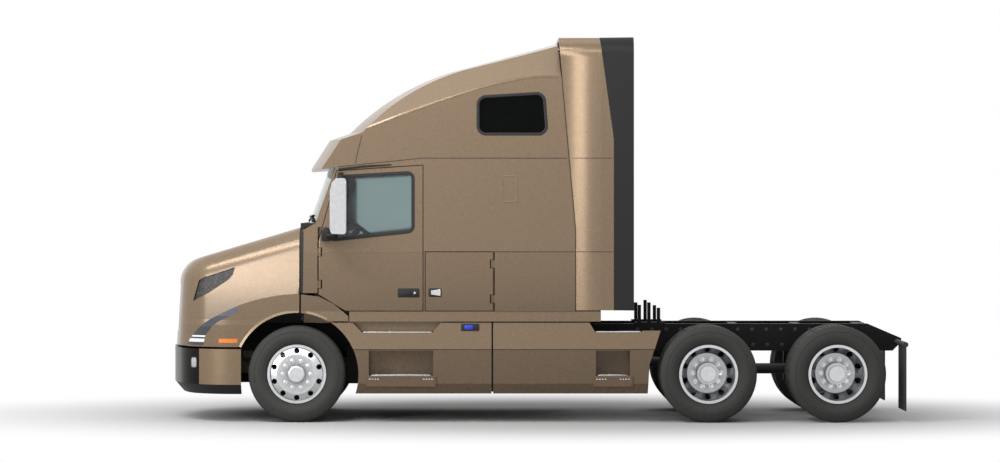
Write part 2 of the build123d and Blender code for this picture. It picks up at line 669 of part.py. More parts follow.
def hood_form(inset):
    """The solid form of the upper hood, drawn in by the inset on every side."""
    half_w = HOOD_REAR_W - inset
    front_x = HOOD_FRONT_X - inset
    rear_x = HOOD_REAR_X - inset
    back_x = rear_x - HOOD_RUN_ON
    back_w = half_w + HOOD_RUN_ON * HOOD_TAPER_W / HOOD_TAPER_L
    top = HOOD_REAR_Z - inset
    corner = (front_x - HOOD_BOW, half_w - HOOD_TAPER_W)
    with BuildPart() as form:
        with BuildSketch(Plane.XY.offset(HOOD_BASE_Z - inset)) as plan:
            with BuildLine():
                Line((back_x, back_w), (back_x, -back_w))
                Line((back_x, -back_w), (corner[0], -corner[1]))
                ThreePointArc((corner[0], -corner[1]), (front_x, 0), corner)
                Line(corner, (back_x, back_w))
            make_face()
            fillet(plan.vertices().filter_by(lambda v: v.X > rear_x), NOSE_CORNER_R)
        extrude(amount=HOOD_REAR_Z, taper=HOOD_LEAN)
        with BuildSketch(side_plane(2 * back_w)):
            with BuildLine():
                Polyline(
                    (back_x - 10, top + (rear_x - back_x + 10) * HOOD_SLOPE),
                    (front_x + 400, top - (front_x + 400 - rear_x) * HOOD_SLOPE),
                    (front_x + 400, top + 2000),
                    (back_x - 10, top + 2000),
                    close=True,
                )
            make_face()
        extrude(amount=4 * back_w, mode=Mode.SUBTRACT)
        crown = faces().filter_by(lambda f: f.normal_at().Z > 0.8)[0]
        fillet(crown.edges().filter_by(lambda e: e.center().X > rear_x), SHOULDER_R - inset)
        with Locations((rear_x + 2000, 0, HOOD_BASE_Z + 1000)):
            Box(4000, 2 * (FENDER_W - inset), 4000, mode=Mode.INTERSECT)
    return form.part


def fender_form(inset):
    """The solid form of both fenders under the brow line, drawn in by the inset."""
    rear_x = HOOD_REAR_X - inset
    outline = nose_outline(HOOD_BASE_Z - inset, FENDER_W - inset, FENDER_FRONT_X - inset, rear_x)
    rear_x = HOOD_REAR_X - inset
    with BuildPart() as form:
        extrude(to_extrude=outline, amount=700)
        with BuildSketch(side_plane(2 * FENDER_W)):
            with BuildLine():
                ThreePointArc(
                    (rear_x - 10, BROW_REAR_Z - inset),
                    (BROW_CROWN[0], BROW_CROWN[1] - inset),
                    (BROW_MID[0], BROW_MID[1] - inset),
                )
                ThreePointArc(
                    (BROW_MID[0], BROW_MID[1] - inset),
                    (BROW_BEND[0] - inset, BROW_BEND[1] - inset),
                    (BROW_TIP[0] - inset, BROW_TIP[1] - inset - 1),
                )
                Polyline(
                    (BROW_TIP[0] - inset, BROW_TIP[1] - inset - 1),
                    (NOSE_X + 100, BROW_TIP[1] - inset - 1),
                    (NOSE_X + 100, 3000),
                    (rear_x - 10, 3000),
                    (rear_x - 10, BROW_REAR_Z - inset),
                )
            make_face()
        extrude(amount=4 * FENDER_W, mode=Mode.SUBTRACT)
    return form.part


def side_prism(points):
    """A prism across the whole truck over an outline given in X and Z."""
    with BuildPart() as prism:
        with BuildSketch(side_plane(2 * BODY_HALF_W)):
            with BuildLine():
                Polyline(*points, close=True)
            make_face()
        extrude(amount=4 * BODY_HALF_W)
    return prism.part


LAMP_POINTS = (
    (STEER_X + 1200, HOOD_BASE_Z + 14),
    (STEER_X + 962, HOOD_BASE_Z + 14),
    (STEER_X + 941, 884),
    (STEER_X + 870, 981),
    (STEER_X + 810, 1030),
    (STEER_X + 600, 1130),
    (STEER_X + 600, 1300),
    (STEER_X + 1200, 1300),
)
VENT_POINTS = (
    (STEER_X + 1084, 1236),
    (STEER_X + 1020, 1451),
    (STEER_X + 956, 1484),
    (STEER_X + 640, 1587),
    (STEER_X + 663, 1509),
    (STEER_X + 713, 1455),
    (STEER_X + 897, 1333),
    (STEER_X + 1043, 1255),
)
MARKER_POINTS = (
    (STEER_X + 604, 817),
    (STEER_X + 798, 817),
    (STEER_X + 798, 858),
    (STEER_X + 604, 858),
)
GRILLE_HALF_W = 470.0
GRILLE_LOW = HINGE_Z + 44.0
GRILLE_HIGH = 1400.0
hood_outer = hood_form(0)
hood_inner = hood_form(HOOD_T)
fender_outer = fender_form(0)
fender_inner = fender_form(HOOD_T)
lamp_prism = side_prism(LAMP_POINTS)
vent_prism = side_prism(VENT_POINTS)
marker_prism = side_prism(MARKER_POINTS)
lamp_shell = fender_form(4) - fender_form(HOOD_T - 8)
lamp_cut = ((fender_outer - fender_inner) & lamp_prism) - hood_outer
grille_shell = hood_form(14) - hood_inner
vent_shell = hood_form(10) - hood_form(HOOD_T - 6)
marker_shell = fender_form(0) - fender_form(12)
with BuildPart() as headlamps:
    add(lamp_shell)
    add(lamp_prism, mode=Mode.INTERSECT)
    add(hood_outer, mode=Mode.SUBTRACT)
save(headlamps, "headlamps")

with BuildPart() as hood_vents:
    add(vent_shell)
    add(vent_prism, mode=Mode.INTERSECT)
save(hood_vents, "hood_vents")

with BuildPart() as marker_lamps:
    add(marker_shell)
    add(marker_prism, mode=Mode.INTERSECT)
save(marker_lamps, "marker_lamps")

SLAT_PITCH = 62.0
SLAT_GAP = 40.0
with BuildPart() as grille:
    add(grille_shell)
    with Locations((HOOD_FRONT_X, 0, (GRILLE_LOW + GRILLE_HIGH) / 2)):
        Box(600, 2 * GRILLE_HALF_W, GRILLE_HIGH - GRILLE_LOW, mode=Mode.INTERSECT)
    with BuildSketch(cross_plane(HOOD_FRONT_X - 400)):
        with Locations((0, (GRILLE_LOW + GRILLE_HIGH) / 2)):
            with GridLocations(GRILLE_HALF_W - 10, SLAT_PITCH, 2, 8):
                Rectangle(GRILLE_HALF_W - 50, SLAT_GAP)
    extrude(amount=800, mode=Mode.SUBTRACT)
save(grille, "grille")

with BuildPart() as hood:
    add(hood_outer)
    add(fender_outer)
    add(hood_inner, mode=Mode.SUBTRACT)
    add(fender_inner, mode=Mode.SUBTRACT)
    with BuildSketch(side_plane(2 * FENDER_W)):
        with Locations((STEER_X, AXLE_Z)):
            Circle(ARCH_R)
    extrude(amount=4 * FENDER_W, mode=Mode.SUBTRACT)
    add(lamp_cut, mode=Mode.SUBTRACT)
    add(vent_prism, mode=Mode.SUBTRACT)
    add(marker_lamps.part, mode=Mode.SUBTRACT)
    with Locations((HOOD_FRONT_X, 0, (GRILLE_LOW + GRILLE_HIGH) / 2)):
        Box(600, 2 * GRILLE_HALF_W, GRILLE_HIGH - GRILLE_LOW, mode=Mode.SUBTRACT)
    for y in (-HINGE_Y, HINGE_Y):
        for edge in (y - HINGE_ARM_W / 2 - 6 - EAR_W, y + HINGE_ARM_W / 2 + 6):
            with Locations(((HINGE_X + HOOD_FRONT_X - 50) / 2, edge + EAR_W / 2, HINGE_Z)):
                Box(HOOD_FRONT_X - 50 - HINGE_X, EAR_W, 2 * HINGE_R)
            with BuildSketch(side_plane(edge + EAR_W)):
                with Locations((HINGE_X, HINGE_Z)):
                    Circle(HINGE_R)
            extrude(amount=EAR_W)
        with BuildSketch(side_plane(y + HINGE_ARM_W / 2 + 6 + EAR_W)):
            with Locations((HINGE_X, HINGE_Z)):
                Circle(HINGE_PIN_R)
        extrude(amount=HINGE_ARM_W + 12 + 2 * EAR_W)
save(hood, "hood")

# Wheel liners under the fenders, on the hood
LINER_R = ARCH_R + 12.0
LINER_T = 10.0
LINER_IN_Y = 640.0
LINER_OUT_Y = FENDER_W - HOOD_T
LINER_WALL_LOW = 2 * TYRE_R + 12.0
SPLASH_LOW = AXLE_Z - 65.0
SPLASH_OUT_Y = FENDER_W - 102.0
with BuildPart() as wheel_liners:
    with BuildSketch(side_plane(LINER_OUT_Y)):
        with Locations((STEER_X, AXLE_Z)):
            Circle(LINER_R + LINER_T)
            Circle(LINER_R, mode=Mode.SUBTRACT)
        with Locations((HOOD_REAR_X + 6 - 1000, AXLE_Z)):
            Rectangle(2000, 4000, mode=Mode.SUBTRACT)
        with Locations((STEER_X, HOOD_BASE_Z - 2000)):
            Rectangle(4000, 4000, mode=Mode.SUBTRACT)
    extrude(amount=LINER_OUT_Y - LINER_IN_Y)
    with BuildSketch(side_plane(LINER_IN_Y + LINER_T)):
        with Locations((STEER_X, AXLE_Z)):
            Circle(LINER_R + LINER_T)
        with Locations((HOOD_REAR_X + 6 - 1000, AXLE_Z)):
            Rectangle(2000, 4000, mode=Mode.SUBTRACT)
        with Locations((STEER_X, LINER_WALL_LOW - 2000)):
            Rectangle(4000, 4000, mode=Mode.SUBTRACT)
    extrude(amount=LINER_T)
    mirror(about=Plane.XZ)
    add(hood.part, mode=Mode.SUBTRACT)
save(wheel_liners, "wheel_liners")

# Cab floor: raised toe board over the wheels, sill skirts, and mounts on the rails
TOE_X = STEER_X - 540.0
TOE_Z = CAB_BOTTOM + 10.0
FIREWALL_T = 40.0
FIREWALL_X = COWL_X - FIREWALL_T
FLOOR_BOTTOM = CAB_BOTTOM - CAB_FLOOR_T
FLOOR_HALF_W = BODY_HALF_W - 30.0
FENDER_IN_Y = SIDE_IN_Y
TOE_HALF_W = FENDER_IN_Y - 5.0
SILL_H = 103.0
MOUNT_R = 45.0
with BuildPart() as cab_floor:
    with Locations(((CAB_BACK_X + TOE_X) / 2, 0, CAB_BOTTOM - CAB_FLOOR_T / 2)):
        Box(TOE_X - CAB_BACK_X, 2 * FLOOR_HALF_W, CAB_FLOOR_T)
    with Locations(((TOE_X + FIREWALL_X) / 2, 0, TOE_Z + CAB_FLOOR_T / 2)):
        Box(FIREWALL_X - TOE_X, 2 * TOE_HALF_W, CAB_FLOOR_T)
    with Locations((TOE_X - 20, 0, (FLOOR_BOTTOM + TOE_Z + CAB_FLOOR_T) / 2)):
        Box(40, 2 * TOE_HALF_W, TOE_Z + CAB_FLOOR_T - FLOOR_BOTTOM)
    for x in (CAB_BACK_X + 150, TOE_X - 150):
        for y in (-SPRING_Y, SPRING_Y):
            with Locations((x, y, (RAIL_TOP + FLOOR_BOTTOM) / 2)):
                Cylinder(MOUNT_R, FLOOR_BOTTOM - RAIL_TOP)
save(cab_floor, "cab_floor")

# Sills: bands over the floor's edges, and a panel behind each front step notch
SILL_T = 22.0
NOTCH_PANEL_Y = FLOOR_HALF_W - 100.0
NOTCH_PANEL_LOW = 930.0
with BuildPart() as sills:
    with Locations(((CAB_BACK_X + TOE_X) / 2, FLOOR_HALF_W + SILL_T / 2, CAB_BOTTOM - SILL_H / 2 - 2)):
        Box(TOE_X - CAB_BACK_X, SILL_T, SILL_H)
    with Locations((STEER_X - 1020, NOTCH_PANEL_Y, (NOTCH_PANEL_LOW + FLOOR_BOTTOM) / 2)):
        Box(1000, SILL_T, FLOOR_BOTTOM - NOTCH_PANEL_LOW)
    mirror(about=Plane.XZ)
save(sills, "sills")

# Firewall with the cowl shelf under the windscreen
COWL_TOP = 2040.0
SHELF_X = STEER_X - 220.0
with BuildPart() as cab_front:
    with Locations(((FIREWALL_X + COWL_X) / 2, 0, (TOE_Z + COWL_TOP) / 2)):
        Box(FIREWALL_T, 2 * SIDE_IN_Y, COWL_TOP - TOE_Z)
    with Locations(((SHELF_X + COWL_X) / 2, 0, COWL_TOP - 20)):
        Box(COWL_X - SHELF_X, 2 * SIDE_IN_Y, 40)
save(cab_front, "cab_front")

# Cab sides with the openings for door and luggage hatch
PILLAR_LOW = (STEER_X - 194.0, COWL_TOP)
SEAM_MID_X = STEER_X - 1285.0
EXT_BEND_Z = 1972.0
EXT_TOP_X = STEER_X - 2669.0
EXT_TOP_Z = 3944.0
DOOR_BOTTOM = CAB_BOTTOM + DOOR_GAP - 2.0
DOOR_EDGE_TOP = DOOR_BOTTOM + 694.0
DOOR_POINTS = (
    (DOOR_REAR_X, DOOR_BOTTOM),
    (DOOR_FRONT_X - 276, DOOR_BOTTOM),
    (DOOR_FRONT_X, DOOR_BOTTOM + 171),
    (DOOR_FRONT_X, DOOR_EDGE_TOP),
    (DOOR_FRONT_X - 112, 2237),
    (DOOR_FRONT_X - 189, SEAM_FRONT_Z - 40),
    (DOOR_REAR_X, SEAM_Z - 75),
)
HATCH_FRONT_X = DOOR_REAR_X - 30.0
HATCH_REAR_X = STEER_X - 2018.0
HATCH_TOP = 1744.0
LEAF_Y = BODY_HALF_W - EDGE_R
LEAF_R = 13.0
LEAF_T = 14.0
LEAF_H = 78.0
LEAF_PIN_R = 6.0
LEAF_NOTCH = 22.0
DOOR_HINGE_X = DOOR_FRONT_X - EDGE_R
HATCH_HINGE_X = HATCH_REAR_X + EDGE_R
DOOR_HINGE_ZS = (DOOR_BOTTOM + 270.0, DOOR_BOTTOM + 600.0)
HATCH_HINGE_ZS = (DOOR_BOTTOM + 120.0, HATCH_TOP - 120.0)
HINGE_LINES = (
    (DOOR_HINGE_X, DOOR_FRONT_X + DOOR_GAP + 4, DOOR_HINGE_ZS),
    (HATCH_HINGE_X, HATCH_REAR_X - DOOR_GAP - 4, HATCH_HINGE_ZS),
)
BEHIND_SEAM = (
    (SEAM_REAR_X, 0),
    (SEAM_REAR_X, EXT_BEND_Z),
    (EXT_TOP_X, EXT_TOP_Z),
    (EXT_TOP_X, EXT_TOP_Z + 500),
    (SEAM_REAR_X - 2000, EXT_TOP_Z + 500),
    (SEAM_REAR_X - 2000, 0),
)
behind_seam = side_prism(BEHIND_SEAM)
with BuildPart() as cab_sides:
    with BuildSketch(side_plane(BODY_HALF_W)):
        with BuildLine():
            Polyline(
                (CAB_BACK_X, CAB_BOTTOM),
                (DOOR_FRONT_X - 340, CAB_BOTTOM),
                (DOOR_FRONT_X - 46, DOOR_BOTTOM + 180),
                (COWL_X, DOOR_BOTTOM + 180),
                (COWL_X, COWL_TOP - 85),
                PILLAR_LOW,
                (SEAM_FRONT_X, SEAM_FRONT_Z),
                (SEAM_MID_X, SEAM_Z),
                (CAB_BACK_X, SEAM_Z),
                close=True,
            )
        make_face()
        with BuildSketch(mode=Mode.SUBTRACT):
            with BuildLine():
                Polyline(*DOOR_POINTS, close=True)
            make_face()
            offset(amount=DOOR_GAP, kind=Kind.INTERSECTION)
        with Locations(((HATCH_FRONT_X + HATCH_REAR_X) / 2, (DOOR_BOTTOM + HATCH_TOP) / 2)):
            Rectangle(
                HATCH_FRONT_X - HATCH_REAR_X + 2 * DOOR_GAP,
                HATCH_TOP - DOOR_BOTTOM + 2 * DOOR_GAP,
                mode=Mode.SUBTRACT,
            )
    extrude(amount=WALL)
    with Locations((DOOR_HINGE_X, LEAF_Y, DOOR_EDGE_TOP + 75)):
        Cylinder(EDGE_R + 12, 170, mode=Mode.SUBTRACT)
    for x, jamb, z_list in HINGE_LINES:
        for z in z_list:
            with Locations(((x + jamb) / 2, LEAF_Y, z)):
                Box(abs(jamb - x), LEAF_T, LEAF_H)
            with Locations((x, LEAF_Y, z)):
                Cylinder(LEAF_R, LEAF_H)
                Cylinder(LEAF_PIN_R + SLIP, LEAF_H + 2, mode=Mode.SUBTRACT)
    add(behind_seam, mode=Mode.SUBTRACT)
    inset_mid_x = (CAB_BACK_X + SEAM_REAR_X + 100) / 2
    with Locations((inset_mid_x, (SIDE_IN_Y + INSET_Y) / 2, (CAB_BOTTOM + SEAM_Z) / 2)):
        Box(SEAM_REAR_X + 100 - CAB_BACK_X, INSET_Y - SIDE_IN_Y, SEAM_Z - CAB_BOTTOM)
    mirror(about=Plane.XZ)
save(cab_sides, "cab_sides")

# Sleeper back wall
with BuildPart() as cab_back:
    with Locations((CAB_BACK_X + WALL / 2, 0, (CAB_BOTTOM + SEAM_Z) / 2)):
        Box(WALL, 2 * SIDE_IN_Y, SEAM_Z - CAB_BOTTOM)
save(cab_back, "cab_back")

# Roof: a form turned about an upright axis, squared toward the rear, with a visor in front
ROOF_AXIS_X = STEER_X - 2769.0
VISOR_X = STEER_X - 99.0
VISOR_Z = 2570.0
ROOF_T = 50.0
ROOF_RISE = EXT_TOP_Z - 4.0 - SEAM_Z
ROOF_BROW_Z = SEAM_Z + 0.154 * ROOF_RISE
ROOF_FOOT_Z = SEAM_Z + 0.2146 * ROOF_RISE
ROOF_MID_Z = SEAM_Z + 0.575 * ROOF_RISE
ROOF_HIGH_Z = SEAM_Z + 0.7296 * ROOF_RISE
BELOW_SEAM = (
    (CAB_BACK_X - 500, 1000),
    (VISOR_X + 300, 1000),
    (VISOR_X + 300, VISOR_Z - 42),
    (VISOR_X, VISOR_Z),
    (SEAM_FRONT_X, SEAM_FRONT_Z),
    (SEAM_MID_X, SEAM_Z),
    (CAB_BACK_X - 500, SEAM_Z),
)
below_seam = side_prism(BELOW_SEAM)


CREASE_POINTS = [
    (STEER_X - 621, SEAM_Z + 0.2324 * ROOF_RISE),
    (STEER_X - 1248, SEAM_Z + 0.4243 * ROOF_RISE),
    (STEER_X - 1721, SEAM_Z + 0.5547 * ROOF_RISE),
    (STEER_X - 2065, SEAM_Z + 0.6324 * ROOF_RISE),
    (STEER_X - 2676, SEAM_Z + 0.6858 * ROOF_RISE),
]
CREASE_REAR = (CAB_BACK_X - 300, SEAM_Z + 0.70 * ROOF_RISE)
ROOF_SWEEP_R = 4570.0
ROOF_TURN = 43.0
roof_spin_x = VISOR_X - ROOF_SWEEP_R
with BuildPart() as crease_cut:
    with BuildSketch(side_plane(BODY_HALF_W)):
        with BuildLine():
            Spline(*CREASE_POINTS)
            Polyline(
                CREASE_POINTS[-1],
                CREASE_REAR,
                (CREASE_REAR[0], EXT_TOP_Z + 900),
                (VISOR_X + 300, EXT_TOP_Z + 900),
                (VISOR_X + 300, CREASE_POINTS[0][1]),
                CREASE_POINTS[0],
            )
        make_face()
    extrude(amount=1000, dir=(0, -sqrt(0.5), sqrt(0.5)))
    mirror(about=Plane.XZ)


def roof_form(inset, nose_x):
    """The solid form of the roof above the seam, drawn in by the inset."""
    top_z = SEAM_Z + ROOF_RISE - inset
    r_rear = CAB_BACK_X - 300 - roof_spin_x
    r_flat = ROOF_AXIS_X - roof_spin_x
    r_tip = nose_x - roof_spin_x
    r_brow = STEER_X - 287 - roof_spin_x - inset
    r_foot = STEER_X - 500 - roof_spin_x - inset
    r_mid = STEER_X - 1089 - roof_spin_x - inset
    r_top = STEER_X - 1534 - roof_spin_x - inset
    turn = radians(ROOF_TURN)
    half_w = BODY_HALF_W - inset
    spin_plane = Plane(
        origin=(roof_spin_x, 0, 0),
        x_dir=(cos(turn), -sin(turn), 0),
        z_dir=(-sin(turn), -cos(turn), 0),
    )
    with BuildPart() as form:
        with BuildSketch(spin_plane):
            with BuildLine():
                Polyline(
                    (r_flat, top_z),
                    (r_rear, top_z),
                    (r_rear, VISOR_Z - 100),
                    (r_tip, VISOR_Z - 100),
                    (r_tip, 2600 - inset / 4),
                    (r_brow, ROOF_BROW_Z - inset),
                    (r_foot, ROOF_FOOT_Z - inset),
                )
                ThreePointArc(
                    (r_foot, ROOF_FOOT_Z - inset),
                    (r_mid, ROOF_MID_Z - inset),
                    (r_top, ROOF_HIGH_Z - inset),
                )
                Line((r_top, ROOF_HIGH_Z - inset), (r_flat, top_z))
            make_face()
        revolve(axis=Axis((roof_spin_x, 0, 0), (0, 0, 1)), revolution_arc=2 * ROOF_TURN)
        with Locations((CAB_BACK_X + inset + 4000, 0, 3000)):
            Box(8000, 2 * half_w, 4000, mode=Mode.INTERSECT)
        add(below_seam, mode=Mode.SUBTRACT)
        add(Pos(0, 0, -inset * sqrt(2)) * crease_cut.part, mode=Mode.SUBTRACT)
    return form.part


roof_outer = roof_form(0, VISOR_X)
roof_inset = roof_form(INSET, VISOR_X - 200)
roof_cavity = roof_form(INSET + ROOF_T, SEAM_FRONT_X - 60)
WINDOW_POINTS = (
    (STEER_X - 1857, SEAM_Z + 0.2 * ROOF_RISE),
    (STEER_X - 2561, SEAM_Z + 0.2 * ROOF_RISE),
    (STEER_X - 2529, SEAM_Z + 0.5385 * ROOF_RISE),
    (STEER_X - 1857, SEAM_Z + 0.506 * ROOF_RISE),
)
WINDOW_R = 80.0
with BuildPart() as window_prism:
    with BuildSketch(side_plane(2 * BODY_HALF_W)) as window_sketch:
        with BuildLine():
            Polyline(*WINDOW_POINTS, close=True)
        make_face()
        fillet(window_sketch.vertices(), WINDOW_R)
    extrude(amount=4 * BODY_HALF_W, dir=(0, -1, 0))
with BuildPart() as roof_shell:
    add(roof_outer)
    add(behind_seam, mode=Mode.SUBTRACT)
    add(roof_inset)
    add(roof_cavity, mode=Mode.SUBTRACT)
    add(window_prism.part, mode=Mode.SUBTRACT)
save(roof_shell, "roof_shell")

GLASS_T = 8.0
with BuildPart() as sleeper_windows:
    add(window_prism.part)
    with Locations((0, BODY_HALF_W - 20 - GLASS_T / 2, 3000)):
        Box(8000, GLASS_T, 4000, mode=Mode.INTERSECT)
    mirror(about=Plane.XZ)
save(sleeper_windows, "sleeper_windows")

# Windscreen: a raked pane turned about a far upright axis
SCREEN_X = STEER_X - 79.0
SCREEN_R = 5500.0
SCREEN_RAKE = 0.36
SCREEN_T = 12.0
screen_axis_x = SCREEN_X - SCREEN_R
screen_plane = Plane(
    origin=(screen_axis_x, 0, 0),
    x_dir=(cos(0.3), -sin(0.3), 0),
    z_dir=(-sin(0.3), -cos(0.3), 0),
)
with BuildPart() as windscreen:
    with BuildSketch(screen_plane):
        with BuildLine():
            rise = 700.0
            Polyline(
                (SCREEN_R, COWL_TOP),
                (SCREEN_R - rise * SCREEN_RAKE, COWL_TOP + rise),
                (SCREEN_R - rise * SCREEN_RAKE - SCREEN_T, COWL_TOP + rise),
                (SCREEN_R - SCREEN_T, COWL_TOP),
                close=True,
            )
        make_face()
    revolve(axis=Axis((screen_axis_x, 0, 0), (0, 0, 1)), revolution_arc=34.4)
    add(below_seam, mode=Mode.INTERSECT)
    with Locations((SCREEN_X, 0, COWL_TOP)):
        Box(2000, 2 * SIDE_IN_Y, 4000, mode=Mode.INTERSECT)
save(windscreen, "windscreen")

# Doors with a rounded front edge on the hinge line, window panes and mirrors
PANE_POINTS = (
    (DOOR_REAR_X + 98, 1958),
    (DOOR_FRONT_X - 96, 1862),
    (DOOR_FRONT_X - 184, 2237),
    (DOOR_FRONT_X - 251, SEAM_FRONT_Z - 92),
    (DOOR_REAR_X + 98, SEAM_Z - 145),
)
PANE_R = 60.0
with BuildPart() as pane_prism:
    with BuildSketch(side_plane(BODY_HALF_W + 10)) as pane_sketch:
        with BuildLine():
            Polyline(*PANE_POINTS, close=True)
        make_face()
        fillet(pane_sketch.vertices(), PANE_R)
    extrude(amount=WALL + 20, dir=(0, -1, 0))
with BuildPart() as door_left:
    with BuildSketch(side_plane(BODY_HALF_W)):
        with BuildLine():
            Polyline(*DOOR_POINTS, close=True)
        make_face()
    extrude(amount=WALL)
    front_edges = edges().filter_by(Axis.Z).sort_by(Axis.X)[-2:]
    fillet(front_edges.sort_by(Axis.Y)[-1], EDGE_R)
    add(pane_prism.part, mode=Mode.SUBTRACT)
    for z in DOOR_HINGE_ZS:
        with Locations((DOOR_HINGE_X - LEAF_NOTCH + 50, BODY_HALF_W - WALL / 2, z)):
            Box(100, 2 * WALL, LEAF_H + 2 * MOVE_GAP, mode=Mode.SUBTRACT)
        with Locations((DOOR_HINGE_X, LEAF_Y, z)):
            Cylinder(LEAF_PIN_R, LEAF_H + 4 * MOVE_GAP)
save(door_left, "door_left")

with BuildPart() as door_glass_left:
    add(pane_prism.part)
    with Locations((DOOR_REAR_X, BODY_HALF_W - WALL / 2, 2200)):
        Box(4000, GLASS_T, 2000, mode=Mode.INTERSECT)
save(door_glass_left, "door_glass_left")

MIRROR_X = STEER_X - 430.0
MIRROR_Y = BODY_HALF_W + 190.0
MIRROR_L = 150.0
MIRROR_W = 260.0
MIRROR_LOW = 1935.0
MIRROR_HIGH = 2500.0
ARM_PAD = 90.0
with BuildPart() as mirror_left:
    with BuildSketch(Plane.XY.offset(MIRROR_LOW)) as head:
        with Locations((MIRROR_X, MIRROR_Y)):
            Rectangle(MIRROR_L, MIRROR_W)
        fillet(head.vertices().sort_by(Axis.X)[-2:], MIRROR_L * 0.6)
    extrude(amount=MIRROR_HIGH - MIRROR_LOW)
    with Locations((MIRROR_X - MIRROR_L / 2, MIRROR_Y, (MIRROR_LOW + MIRROR_HIGH) / 2)):
        Box(24, MIRROR_W - 40, MIRROR_HIGH - MIRROR_LOW - 40, mode=Mode.SUBTRACT)
    with Locations((DOOR_FRONT_X - 130, BODY_HALF_W + 30, 1800)):
        Box(150, 60, ARM_PAD)
    with BuildSketch(cross_plane(MIRROR_X - 40)):
        with BuildLine():
            Polyline(
                (BODY_HALF_W + 10, 1770),
                (BODY_HALF_W + 10, 1840),
                (MIRROR_Y - 40, MIRROR_LOW + 5),
                (MIRROR_Y + 40, MIRROR_LOW + 5),
                close=True,
            )
        make_face()
    extrude(amount=80)
    with Locations((MIRROR_X - 20, BODY_HALF_W + 80, MIRROR_HIGH - 15)):
        Box(40, 160, 28)
    with Locations((MIRROR_X - 30, BODY_HALF_W + 10, MIRROR_HIGH + 20)):
        Box(60, 20, 80)
save(mirror_left, "mirror_left")

# Luggage hatches with a rounded rear edge on the hinge line
with BuildPart() as luggage_door_left:
    with BuildSketch(side_plane(BODY_HALF_W)):
        with Locations(((HATCH_FRONT_X + HATCH_REAR_X) / 2, (DOOR_BOTTOM + HATCH_TOP) / 2)):
            Rectangle(HATCH_FRONT_X - HATCH_REAR_X, HATCH_TOP - DOOR_BOTTOM)
    extrude(amount=WALL)
    rear_edges = edges().filter_by(Axis.Z).sort_by(Axis.X)[:2]
    fillet(rear_edges.sort_by(Axis.Y)[-1], EDGE_R)
    for z in HATCH_HINGE_ZS:
        with Locations((HATCH_HINGE_X + LEAF_NOTCH - 50, BODY_HALF_W - WALL / 2, z)):
            Box(100, 2 * WALL, LEAF_H + 2 * MOVE_GAP, mode=Mode.SUBTRACT)
        with Locations((HATCH_HINGE_X, LEAF_Y, z)):
            Cylinder(LEAF_PIN_R, LEAF_H + 4 * MOVE_GAP)
save(luggage_door_left, "luggage_door_left")

with BuildPart() as door_right:
    add(door_left.part)
    mirror(about=Plane.XZ, mode=Mode.REPLACE)
save(door_right, "door_right")

with BuildPart() as door_glass_right:
    add(door_glass_left.part)
    mirror(about=Plane.XZ, mode=Mode.REPLACE)
save(door_glass_right, "door_glass_right")

with BuildPart() as mirror_right:
    add(mirror_left.part)
    mirror(about=Plane.XZ, mode=Mode.REPLACE)
save(mirror_right, "mirror_right")

with BuildPart() as luggage_door_right:
    add(luggage_door_left.part)
    mirror(about=Plane.XZ, mode=Mode.REPLACE)
save(luggage_door_right, "luggage_door_right")

# Side extenders: a painted arch behind the seam, flared outward, and its dark trailing edge
EXT_T = 30.0
EXT_BOTTOM = CAB_BOTTOM + 10.0
EXT_REAR_X = STEER_X - 3446.0
EXT_STRAIGHT_X = CAB_BACK_X
EXT_FLARE = 85.0
EXT_CORNER_R = 160.0
EDGE_LINE = (
    (STEER_X - 3242, 0),
    (STEER_X - 3242, 2900),
    (STEER_X - 3100, EXT_TOP_Z + 1),
    (STEER_X - 3100, EXT_TOP_Z + 500),
    (STEER_X - 5000, EXT_TOP_Z + 500),
    (STEER_X - 5000, 0),
)


def arch_face(x, half_w, top):
    """A round-cornered arch outline across the truck as a face at x."""
    with BuildSketch(cross_plane(x)) as arch:
        with Locations((0, (EXT_BOTTOM + top) / 2)):
            Rectangle(2 * half_w, top - EXT_BOTTOM)
        fillet(arch.vertices().sort_by(Axis.Y)[-2:], EXT_CORNER_R)
    return arch.sketch


front_face = arch_face(EXT_STRAIGHT_X, BODY_HALF_W, EXT_TOP_Z)
rear_face = arch_face(EXT_REAR_X, BODY_HALF_W + EXT_FLARE, EXT_TOP_Z)
front_hole = arch_face(EXT_STRAIGHT_X, INSET_Y, EXT_TOP_Z - EXT_T)
rear_hole = arch_face(EXT_REAR_X, BODY_HALF_W + EXT_FLARE - EXT_T, EXT_TOP_Z - EXT_T)
edge_prism = side_prism(EDGE_LINE)
behind_gap = side_prism([(x - PANEL_GAP, z) for x, z in BEHIND_SEAM])
with BuildPart() as arch_form:
    loft([front_face.face(), rear_face.face()], ruled=True)
    extrude(to_extrude=front_face, amount=EXT_TOP_X - EXT_STRAIGHT_X, dir=(1, 0, 0))
    add(behind_gap, mode=Mode.INTERSECT)
with BuildPart() as arch_hole:
    loft([front_hole.face(), rear_hole.face()], ruled=True)
    extrude(to_extrude=front_hole, amount=EXT_TOP_X - EXT_STRAIGHT_X + 1, dir=(1, 0, 0))
    with Locations((EXT_STRAIGHT_X, 0, EXT_BOTTOM)):
        Box(4000, 2 * INSET_Y, 40)
with BuildPart() as side_extenders:
    add(arch_form.part)
    add(arch_hole.part, mode=Mode.SUBTRACT)
    add(edge_prism, mode=Mode.SUBTRACT)
save(side_extenders, "side_extenders")

with BuildPart() as extender_edges:
    add(arch_form.part)
    add(arch_hole.part, mode=Mode.SUBTRACT)
    add(edge_prism, mode=Mode.INTERSECT)
save(extender_edges, "extender_edges")

